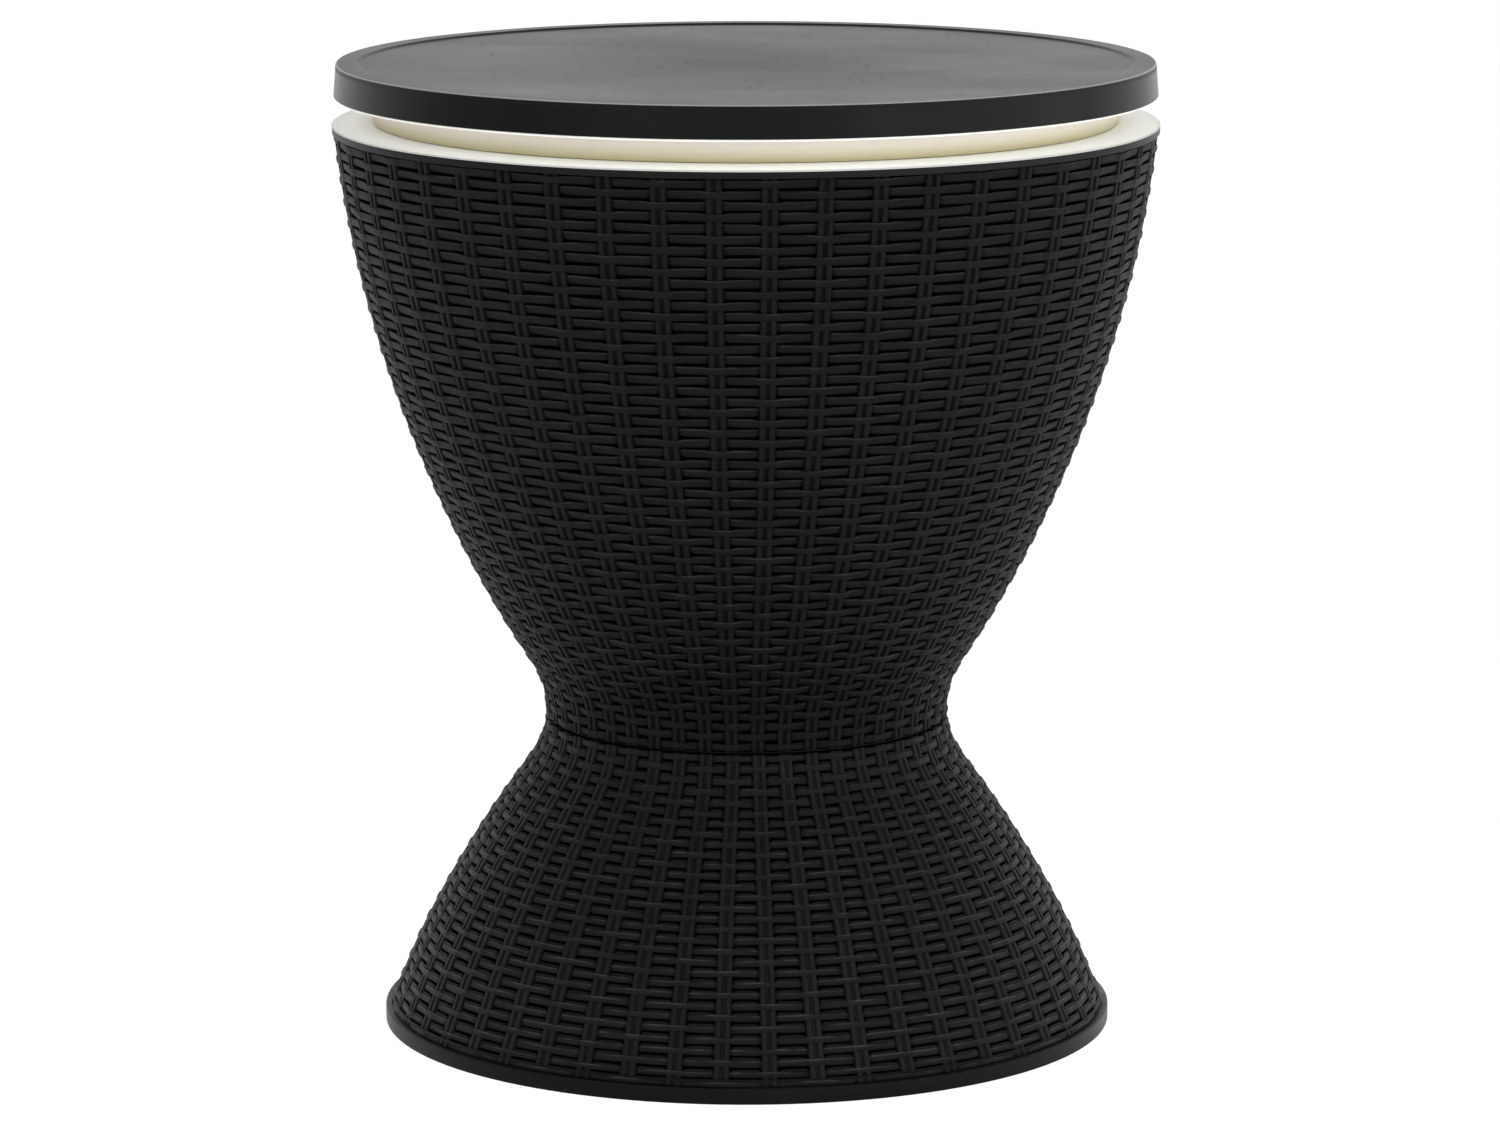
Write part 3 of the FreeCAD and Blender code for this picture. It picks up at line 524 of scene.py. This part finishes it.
def mat_table_top():
    m, nt, bs = new_material("table_top_black")
    v = coords(nt)
    sep = nt.nodes.new("ShaderNodeSeparateXYZ")
    nt.links.new(v, sep.inputs[0])
    rr = maths(nt, "SQRT", maths(nt, "ADD", maths(nt, "MULTIPLY", sep.outputs["X"], sep.outputs["X"]),
                                 maths(nt, "MULTIPLY", sep.outputs["Y"], sep.outputs["Y"])))
    cloud = noise(nt, scaled(nt, v, (1.0, 1.6, 1.0)), 6.0, 5.0, 0.6)
    grain = noise(nt, v, 1400.0, 2.0, 0.5)
    scuff = noise(nt, scaled(nt, v, (30.0, 3.0, 3.0)), 8.0, 3.0, 0.6)
    side = ramp(nt, cloud, [(0.3, (0.0010, 0.0010, 0.0010)), (0.7, (0.0022, 0.0022, 0.0021))])
    face = ramp(nt, cloud, [(0.3, (0.0070, 0.0044, 0.0054)), (0.7, (0.0118, 0.0078, 0.0092))])
    up = maths(nt, "MULTIPLY", maths(nt, "MULTIPLY_ADD", sep.outputs["Z"], 1.0 / 0.0012, -0.5900 / 0.0012, clamp=True),
               maths(nt, "MULTIPLY_ADD", rr, -1.0 / 0.0010, 0.2470 / 0.0010, clamp=True))
    col = mix_rgb(nt, up, side, face)
    # painted highlight: the outer edge is coloured a lighter grey than the faces beside it
    edge = maths(nt, "MULTIPLY", maths(nt, "MULTIPLY_ADD", sep.outputs["Z"], 1.0 / 0.0003, -0.5924 / 0.0003, clamp=True),
                 maths(nt, "MULTIPLY_ADD", rr, 1.0 / 0.0004, -0.2472 / 0.0004, clamp=True))
    col = mix_rgb(nt, edge, col, (0.26, 0.26, 0.255))
    nt.links.new(col, bs.inputs["Base Color"])
    rg = maths(nt, "MULTIPLY_ADD", cloud, 0.16, 0.26)
    rg = maths(nt, "MULTIPLY_ADD", grain, 0.08, rg)
    rg = maths(nt, "MULTIPLY_ADD", ramp(nt, scuff, [(0.62, 0.0), (0.74, 1.0)]), 0.05, rg)
    mid = maths(nt, "MULTIPLY_ADD", rr, -1.0 / 0.16, 1.0, clamp=True)
    rg = maths(nt, "MULTIPLY_ADD", mid, 0.045, rg)
    wall = maths(nt, "MULTIPLY_ADD", sep.outputs["Z"], -1.0 / 0.0010, 0.5905 / 0.0010, clamp=True)
    rg = maths(nt, "MULTIPLY_ADD", wall, -0.13, rg)
    nt.links.new(rg, bs.inputs["Roughness"])
    set_bs(bs, Specular_IOR_Level=0.117)
    bump(nt, bs, grain, 0.10, 0.00005)
    return m


def mat_plastic(name, a, b, rough, spec=0.5, grain_scale=500.0, bump_s=0.08, sss=0.0):
    m, nt, bs = new_material(name)
    v = coords(nt)
    cloud = noise(nt, v, 11.0, 4.0, 0.55)
    grain = noise(nt, v, grain_scale, 2.0, 0.5)
    nt.links.new(ramp(nt, cloud, [(0.3, a), (0.7, b)]), bs.inputs["Base Color"])
    rg = maths(nt, "MULTIPLY_ADD", cloud, 0.12, rough - 0.06)
    rg = maths(nt, "MULTIPLY_ADD", grain, 0.05, rg)
    nt.links.new(rg, bs.inputs["Roughness"])
    set_bs(bs, Specular_IOR_Level=spec)
    if sss:
        set_bs(bs, Subsurface_Weight=sss, Subsurface_Scale=0.003)
    bump(nt, bs, grain, bump_s, 0.00006)
    return m


def mat_bucket():
    """smooth white plastic; towards its outer edge the flange is coloured greyer, and its rim darker grey still, as
    painted shade
    """
    m, nt, bs = new_material("bucket_white_plastic")
    v = coords(nt)
    sep = nt.nodes.new("ShaderNodeSeparateXYZ")
    nt.links.new(v, sep.inputs[0])
    rr = maths(nt, "SQRT", maths(nt, "ADD", maths(nt, "MULTIPLY", sep.outputs["X"], sep.outputs["X"]),
                                 maths(nt, "MULTIPLY", sep.outputs["Y"], sep.outputs["Y"])))
    # painted shade: these masks grey the flange towards its outer rim, where its rounded edge turns down away from the
    # light
    out = maths(nt, "MULTIPLY_ADD", rr, 1.0 / 0.0065, -0.2440 / 0.0065, clamp=True)
    edge = maths(nt, "MULTIPLY_ADD", rr, 1.0 / 0.0009, -0.2502 / 0.0009, clamp=True)
    cloud = noise(nt, v, 11.0, 4.0, 0.55)
    grain = noise(nt, v, 500.0, 2.0, 0.5)
    white = ramp(nt, cloud, [(0.3, (0.965, 0.97, 0.95)), (0.7, (0.98, 0.985, 0.97))])
    white = mix_rgb(nt, out, white, (0.95, 0.955, 0.935))
    nt.links.new(mix_rgb(nt, edge, white, (0.46, 0.465, 0.445)), bs.inputs["Base Color"])
    rg = maths(nt, "MULTIPLY_ADD", cloud, 0.12, 0.36)
    nt.links.new(maths(nt, "MULTIPLY_ADD", grain, 0.05, rg), bs.inputs["Roughness"])
    set_bs(bs, Specular_IOR_Level=0.06)
    bump(nt, bs, grain, 0.08, 0.00006)
    return m


def mat_liner():
    """cream plastic of the lid's liner, with painted shade making it darker and yellower low on its wall"""
    m, nt, bs = new_material("liner_cream_plastic")
    v = coords(nt)
    sep = nt.nodes.new("ShaderNodeSeparateXYZ")
    nt.links.new(v, sep.inputs[0])
    # painted shade: the lower part of the wall is mixed towards a darker, yellower cream
    low = maths(nt, "MULTIPLY_ADD", sep.outputs["Z"], -1.0 / 0.0095, 0.5680 / 0.0095, clamp=True)
    cloud = noise(nt, v, 11.0, 4.0, 0.55)
    grain = noise(nt, v, 500.0, 2.0, 0.5)
    pale = ramp(nt, cloud, [(0.3, (0.75, 0.70, 0.625)), (0.7, (0.775, 0.725, 0.65))])
    col = mix_rgb(nt, low, pale, (0.45, 0.412, 0.242))
    nt.links.new(col, bs.inputs["Base Color"])
    rg = maths(nt, "MULTIPLY_ADD", cloud, 0.12, 0.30)
    nt.links.new(maths(nt, "MULTIPLY_ADD", grain, 0.05, rg), bs.inputs["Roughness"])
    set_bs(bs, Specular_IOR_Level=0.25)
    bump(nt, bs, grain, 0.08, 0.00006)
    return m


def mat_foam():
    m, nt, bs = new_material("insulating_foam")
    v = coords(nt)
    vor = nt.nodes.new("ShaderNodeTexVoronoi")
    vor.inputs["Scale"].default_value = 380.0
    nt.links.new(v, vor.inputs["Vector"])
    cell = vor.outputs["Distance"]
    col = ramp(nt, cell, [(0.1, (0.80, 0.79, 0.74)), (0.7, (0.62, 0.61, 0.56))])
    nt.links.new(col, bs.inputs["Base Color"])
    set_bs(bs, Roughness=0.85, Specular_IOR_Level=0.3)
    bump(nt, bs, cell, 0.4, 0.0004)
    return m


def mat_steel():
    m, nt, bs = new_material("zinc_screw")
    v = coords(nt)
    cloud = noise(nt, v, 260.0, 3.0, 0.6)
    nt.links.new(ramp(nt, cloud, [(0.3, (0.50, 0.50, 0.51)), (0.7, (0.66, 0.66, 0.67))]), bs.inputs["Base Color"])
    nt.links.new(maths(nt, "MULTIPLY_ADD", cloud, 0.25, 0.22), bs.inputs["Roughness"])
    set_bs(bs, Metallic=1.0)
    bump(nt, bs, cloud, 0.1, 0.00005)
    return m


def mat_rubber():
    m, nt, bs = new_material("dark_rubber")
    v = coords(nt)
    cloud = noise(nt, v, 40.0, 4.0, 0.6)
    grain = noise(nt, v, 1600.0, 2.0, 0.5)
    nt.links.new(ramp(nt, cloud, [(0.3, (0.018, 0.018, 0.019)), (0.7, (0.030, 0.029, 0.029))]), bs.inputs["Base Color"])
    nt.links.new(maths(nt, "MULTIPLY_ADD", grain, 0.15, 0.62), bs.inputs["Roughness"])
    set_bs(bs, Specular_IOR_Level=0.35)
    bump(nt, bs, grain, 0.2, 0.00008)
    return m


def paint(ob, mat):
    ob.data.materials.clear()
    ob.data.materials.append(mat)


# the last argument is the grey of the painted highlight on the strand edges; the base strands get a brighter one
WICKER = mat_wicker("woven_black_resin", 0.12, 0.044)
WICKER_BASE = mat_wicker("woven_black_resin_base", 0.167, 0.095)
PAINTED_SHADE_RECESS = mat_wicker_back()
LEDGE = mat_wicker_ledge()
RIM_BAND = mat_black_moulded("rim_black_resin", spec=0.135)
FOOT_BAND = mat_black_moulded("foot_black_resin", 0.0012, 0.0030, spec=0.085)
TOP = mat_table_top()
WHITE = mat_bucket()
LIP = mat_plastic("lid_rim_plastic", (0.97, 0.965, 0.925), (0.985, 0.98, 0.945), 0.36, 0.25)
CREAM = mat_liner()
GREY = mat_plastic("jacket_grey_plastic", (0.20, 0.20, 0.205), (0.25, 0.25, 0.255), 0.5, 0.4)
POST = mat_black_moulded("post_black", 0.010, 0.016, 0.4, 0.34)
SLEEVE = mat_plastic("sleeve_white_plastic", (0.80, 0.80, 0.775), (0.85, 0.85, 0.83), 0.36, 0.45)
BUSH = mat_plastic("bush_natural_nylon", (0.62, 0.58, 0.47), (0.70, 0.66, 0.55), 0.42, 0.4)
FOAM, STEEL, RUBBER = mat_foam(), mat_steel(), mat_rubber()

PAINTS = {
    "table_top": TOP, "lid_rim": LIP, "bucket_liner": WHITE, "lid_liner": CREAM, "bucket_jacket": GREY,
    "insulation": FOAM, "lid_foam": FOAM, "sleeve_nut": POST, "sleeve_end_cap": POST,
    "lift_post": POST, "post_foot": POST, "post_flange": POST, "drain_nut": POST,
    "center_sleeve": SLEEVE, "sleeve_cap": SLEEVE, "drain_pipe": SLEEVE,
    "guide_bush": BUSH, "sleeve_gasket": RUBBER, "drain_gasket": RUBBER,
    "drain_plug": RUBBER, "waist_screws": STEEL, "cover_screws": STEEL,
    "hub_screws": STEEL, "post_screws": STEEL, "foot_screws": STEEL,
    "lower_shell": WICKER, "upper_shell": WICKER,
}
for name, mat in PAINTS.items():
    paint(NODES[name], mat)


# ---------------------------------------------------------------- woven shells
def pair_bowl(z):
    return np.interp(z, [190.0, 205.0, 235.0, 290.0, 551.0], [7.8, 8.2, 9.2, 9.7, 9.6])


def pair_base(z):
    return np.interp(z, [10.0, 120.0, 165.0, 190.0], [9.4, 9.1, 8.4, 7.8])


BOWL_STRAND = dict(section=FLAT_STRAND, pair=pair_bowl, turn=BOWL_TURN, over=0.05, under=3.2, bay=1.05,
                   lean=0.42, lip=0.85, ramp_over=1.9, ramp_under=1.38, deepest=4.4, pinch=0.10,
                   tuck=0.12, jit_d=0.14, jit_u=0.27, jit_h=0.07)
BASE_STRAND = dict(section=ROUND_STRAND, pair=pair_base, turn=BASE_TURN, over=0.05, under=2.9, bay=1.0,
                   lean=0.38, lip=0.85, ramp_over=1.9, ramp_under=1.5, deepest=4.2, pinch=0.05,
                   tuck=0.10, jit_d=0.12, jit_u=0.22, jit_h=0.08)


def bowl_gap(z):
    return float(np.interp(z, [190.0, 200.0, 230.0, 551.0], [1.3, 1.1, 1.15, 1.25]))


def base_gap(z):
    return float(np.interp(z, [10.0, 60.0, 150.0, 178.0, 190.0], [2.5, 2.65, 2.55, 2.3, 1.6]))


def rows_of(slits, first_parity, gap, first_gap=None, last_gap=None):
    out = []
    for i in range(len(slits) - 1):
        up = gap(slits[i]) if (i > 0 or first_gap is None) else first_gap
        dn = gap(slits[i + 1]) if (i < len(slits) - 2 or last_gap is None) else last_gap
        out.append((i, slits[i + 1] + 0.5 * dn, slits[i] - 0.5 * up, (i + first_parity) % 2))
    return out


def finish_piece(ob, mat, nodes):
    paint(ob, mat)
    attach(ob, "stand")
    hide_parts(*nodes)


bowl_rows = rows_of(BOWL_SLITS, 0, bowl_gap, first_gap=0.5)
base_rows = rows_of(BASE_SLITS, 1, base_gap, last_gap=0.8)
for n, (a, b) in enumerate([(0, 8), (8, 16), (16, 24), (24, 32), (32, 39), (39, 46), (46, 52), (52, 58)]):
    ob = strand_rings("bowl_strands_%d" % (n + 1), BOWL_WALL, bowl_rows[a:b], BOWL_STRAND, 100 + n)
    finish_piece(ob, WICKER, ["upper_shell"])
for n, (a, b) in enumerate([(0, 11), (11, 21), (21, 31)]):
    ob = strand_rings("base_strands_%d" % (n + 1), BASE_WALL, base_rows[a:b], BASE_STRAND, 200 + n)
    finish_piece(ob, WICKER_BASE, ["lower_shell"])

BOWL_RIB = dict(samples=118, pair=pair_bowl, gap=lambda z: np.interp(z, [190.0, 551.0], [1.6, 1.9]),
                crest=0.8, tall=1.7, foot=3.9, groove=2.4, crease=0.12, turn=BOWL_TURN)
BASE_RIB = dict(samples=66, pair=pair_base, gap=lambda z: np.interp(z, [10.0, 190.0], [1.7, 1.5]),
                crest=0.75, tall=1.6, foot=3.8, groove=1.5, crease=0.30, turn=BASE_TURN)
for n in range(2):
    ks = list(range(24 * n, 24 * n + 24))
    ob = stake_ribs("bowl_stakes_%d" % (n + 1), BOWL_WALL, ks, 190.9, 551.2, BOWL_RIB, 300 + n)
    finish_piece(ob, WICKER, ["upper_shell"])
ob = stake_ribs("base_stakes", BASE_WALL, list(range(48)), 10.0, 189.1, BASE_RIB, 310)
finish_piece(ob, WICKER_BASE, ["lower_shell"])


def wall_path(table, stations):
    """stations of (z on the wall, depth below it) turned into (r, z) points"""
    z = np.array([p[0] for p in stations])
    d = np.array([p[1] for p in stations])
    r, T, N = frame_at(table, z)
    return np.stack([r - d * N[0], z - d * N[1]], 1)


# the floor of the slits in the bowl, coloured darker as painted shade
zs = np.linspace(190.02, 551.15, 76)
front = [(z, 4.0) for z in zs]
back = [(z, 4.45) for z in zs[::-1]]
ob = turned_ring("bowl_recess", wall_path(BOWL_WALL, front + back))
finish_piece(ob, PAINTED_SHADE_RECESS, ["upper_shell"])

# the floor of the gaps in the base, coloured darker as painted shade
zs = np.linspace(10.05, 189.98, 44)
front = [(z, 3.85) for z in zs]
back = [(z, 4.25) for z in zs[::-1]]
ob = turned_ring("base_recess", wall_path(BASE_WALL, front + back))
finish_piece(ob, PAINTED_SHADE_RECESS, ["lower_shell"])


def ledge_rings(name, table, slits, gap, params, seed):
    """the set-back strand seen low in every gap; it dives behind each stake pair"""
    rng = np.random.RandomState(seed)
    n_s = 8
    verts, across, quads, uvs = [], [], [], []
    for q, z in enumerate(slits):
        g = gap(z)
        r, T, N = frame_at(table, z)
        h = math.degrees(0.5 * params["pair"](z) / r)
        near = np.array([0.0, 0.95, 1.08, 1.22, 1.4, 1.7, 2.1]) * h
        near = near[near < 0.5 * BAY - 0.05]
        bay = np.concatenate([near, [0.5 * BAY], BAY - near[:0:-1]])
        th = (params["turn"] + np.arange(STAKES)[:, None] * BAY + bay[None, :]).ravel()
        n_t = len(th)
        pos = (th - params["turn"]) / BAY
        off = np.abs(pos - np.floor(pos + 0.5)) * BAY / h
        out = smooth((off - 0.95) / 0.35)
        wide = smooth((off - 0.95) / 1.1)
        d0 = params["deep"] + (params["face"] - params["deep"]) * out + wave_noise(rng, STAKES * 2, th, 0.12)
        top = g * (-0.04 + 0.15 * wide) + wave_noise(rng, STAKES * 3, th, 0.26)
        low = np.full(n_t, -0.5 * g - 0.45)
        mid = 0.5 * (top + low)
        u = np.stack([top - 0.25, top, top - 0.10, top - 0.38, mid, low + 0.25, low, low - 0.05], 1) / T[1]
        d = d0[:, None] + np.array([2.0, 0.75, 0.28, 0.04, 0.0, 0.10, 0.55, 2.0])[None, :]
        d = np.minimum(d, 4.4)
        rr = r + u * T[0] - d * N[0]
        zz = z + u * T[1] - d * N[1]
        a = np.radians(th)[:, None]
        verts.append(np.stack([rr * np.sin(a), -rr * np.cos(a), zz], -1).reshape(-1, 3))
        length = np.array([0.0, 1.3, 1.8, 2.1, 3.0, 3.9, 4.4, 5.9])
        across.append(np.tile(length + 29.3 * (q + 3), n_t))
        I, J = np.meshgrid(np.arange(n_t), np.arange(n_s), indexing="ij")
        I2, J2 = (I + 1) % n_t, (J + 1) % n_s
        base = sum(len(v) for v in verts[:-1])
        quads.append(np.stack([I * n_s + J, I * n_s + J2, I2 * n_s + J2, I2 * n_s + J], -1).reshape(-1, 4) + base)
        U0, U1 = I / n_t, (I + 1) / n_t
        V0, V1 = (q + 0.06 + 0.88 * J / n_s) / len(slits), (q + 0.06 + 0.88 * (J + 1) / n_s) / len(slits)
        uv = np.stack([np.stack([U0, V0], -1), np.stack([U0, V1], -1),
                       np.stack([U1, V1], -1), np.stack([U1, V0], -1)], 2)
        uvs.append(uv.reshape(-1, 2))
    return build_mesh(name, np.concatenate(verts), np.concatenate(quads),
                      uv=np.concatenate(uvs), across=np.concatenate(across))


BASE_LEDGE = dict(pair=pair_base, turn=BASE_TURN, face=1.25, deep=3.7)
for n, (a, b) in enumerate([(1, 16), (16, 31)]):
    ob = ledge_rings("base_ledges_%d" % (n + 1), BASE_WALL, BASE_SLITS[a:b], base_gap, BASE_LEDGE, 400 + n)
    finish_piece(ob, LEDGE, ["lower_shell"])

BACK_BOWL, BACK_BASE = 4.45, 4.30


def bowl_face(r, z):
    return (z > 189.9) & (z < 551.25) & (np.abs(r - curve_r(BOWL_WALL, np.clip(z, 190, 551.2))) < 0.25)


def base_face(r, z):
    return (z > 9.9) & (z < 190.1) & (np.abs(r - curve_r(BASE_WALL, np.clip(z, 10, 190))) < 0.25)


def inset_bowl(z):
    zz = np.clip(z, 190.0, 551.2)
    return BACK_BOWL * np.sqrt(1.0 + slope(BOWL_WALL, zz) ** 2)


def inset_base(z):
    zz = np.clip(z, 10.0, 190.0)
    return BACK_BASE * np.sqrt(1.0 + slope(BASE_WALL, zz) ** 2)


ob = set_in_copy("upper_shell", "bowl_shell", bowl_face, inset_bowl)
finish_piece(ob, RIM_BAND, ["upper_shell"])
ob = set_in_copy("lower_shell", "base_shell", base_face, inset_base)
finish_piece(ob, FOOT_BAND, ["lower_shell"])

# ---------------------------------------------------------------- floor, light, camera
def big_plane(name, half, z):
    me = bpy.data.meshes.new(name)
    me.from_pydata([(-half, -half, z), (half, -half, z), (half, half, z), (-half, half, z)], [], [(0, 1, 2, 3)])
    ob = bpy.data.objects.new(name, me)
    bpy.context.scene.collection.objects.link(ob)
    return ob


floor = big_plane("studio_floor", 14.0, 0.0)
fm, fnt, fbs = new_material("studio_floor_pale")
fbs.inputs["Base Color"].default_value = (0.25, 0.25, 0.25, 1.0)
fbs.inputs["Roughness"].default_value = 0.9
fbs.inputs["Specular IOR Level"].default_value = 0.1
fbs.inputs["Emission Color"].default_value = (1.0, 1.0, 1.0, 1.0)
fbs.inputs["Emission Strength"].default_value = 0.87
floor.data.materials.append(fm)

world = bpy.data.worlds.new("studio")
bpy.context.scene.world = world
world.use_nodes = True
wn = world.node_tree
wn.nodes.clear()
wo = wn.nodes.new("ShaderNodeOutputWorld")
bg = wn.nodes.new("ShaderNodeBackground")
tc = wn.nodes.new("ShaderNodeTexCoord")
sep = wn.nodes.new("ShaderNodeSeparateXYZ")
wn.links.new(tc.outputs["Generated"], sep.inputs[0])
up = ramp(wn, maths(wn, "MULTIPLY_ADD", sep.outputs["Z"], 0.5, 0.5), [(0.0, 1.0), (0.49, 1.0), (0.50, 1.30), (0.58, 1.20), (0.66, 0.78), (0.80, 0.34), (1.0, 0.20)])
front = maths(wn, "MULTIPLY_ADD", sep.outputs["Y"], -1.6, 0.0, clamp=True)
low = ramp(wn, maths(wn, "MULTIPLY_ADD", sep.outputs["Z"], 0.5, 0.5), [(0.0, 0.0), (0.53, 0.0), (0.58, 0.80), (0.68, 0.80), (0.75, 0.0), (1.0, 0.0)])
back = maths(wn, "MULTIPLY_ADD", maths(wn, "MAXIMUM", sep.outputs["Y"], 0.0), 0.42, 0.82)
back = maths(wn, "MULTIPLY_ADD", front, low, back)
turn = maths(wn, "MULTIPLY_ADD", sep.outputs["X"], 0.16, back)
wn.links.new(up, bg.inputs["Color"])
wn.links.new(turn, bg.inputs["Strength"])
wn.links.new(bg.outputs[0], wo.inputs[0])


def area(name, loc, target, size_x, size_y, power):
    li = bpy.data.lights.new(name, "AREA")
    li.shape = "RECTANGLE"
    li.size, li.size_y = size_x, size_y
    li.energy = power
    ob = bpy.data.objects.new(name, li)
    bpy.context.scene.collection.objects.link(ob)
    ob.location = loc
    d = np.array(target) - np.array(loc)
    from mathutils import Vector
    ob.rotation_euler = Vector(d).to_track_quat("-Z", "Y").to_euler()
    ob.visible_camera = False
    return ob


area("soft_top", (0.80, -1.85, 2.75), (0, 0, 0.40), 3.0, 1.5, 30.0)
area("soft_right", (1.78, -0.91, 0.62), (0, 0, 0.55), 2.8, 1.15, 10.0)
area("soft_left", (-1.8, -1.4, 2.35), (0, 0, 0.35), 1.5, 1.5, 15.5)
area("soft_front", (1.25, -3.0, 1.45), (0, 0, 0.45), 1.8, 0.8, 8.0)
area("soft_fill", (-1.6, -2.9, 1.40), (0, 0, 0.45), 1.5, 0.8, 6.0)

cam = bpy.data.cameras.new("camera")
cam.lens = 156.66
cam.sensor_width = 36.0
cam.sensor_fit = "HORIZONTAL"
cam.clip_start, cam.clip_end = 0.1, 100.0
cam_ob = bpy.data.objects.new("camera", cam)
bpy.context.scene.collection.objects.link(cam_ob)
from mathutils import Matrix
rot = Matrix.Rotation(math.radians(90.0 - 10.2711), 4, "X") @ Matrix.Rotation(math.radians(-0.05), 4, "Z")
cam_ob.matrix_world = Matrix.Translation((0.00218, -3.947, 0.9992)) @ rot
bpy.context.scene.camera = cam_ob
bpy.context.scene.view_settings.view_transform = "Standard"
bpy.context.scene.view_settings.look = "None"
bpy.context.scene.view_settings.exposure = 0.0
bpy.context.scene.view_settings.gamma = 1.0
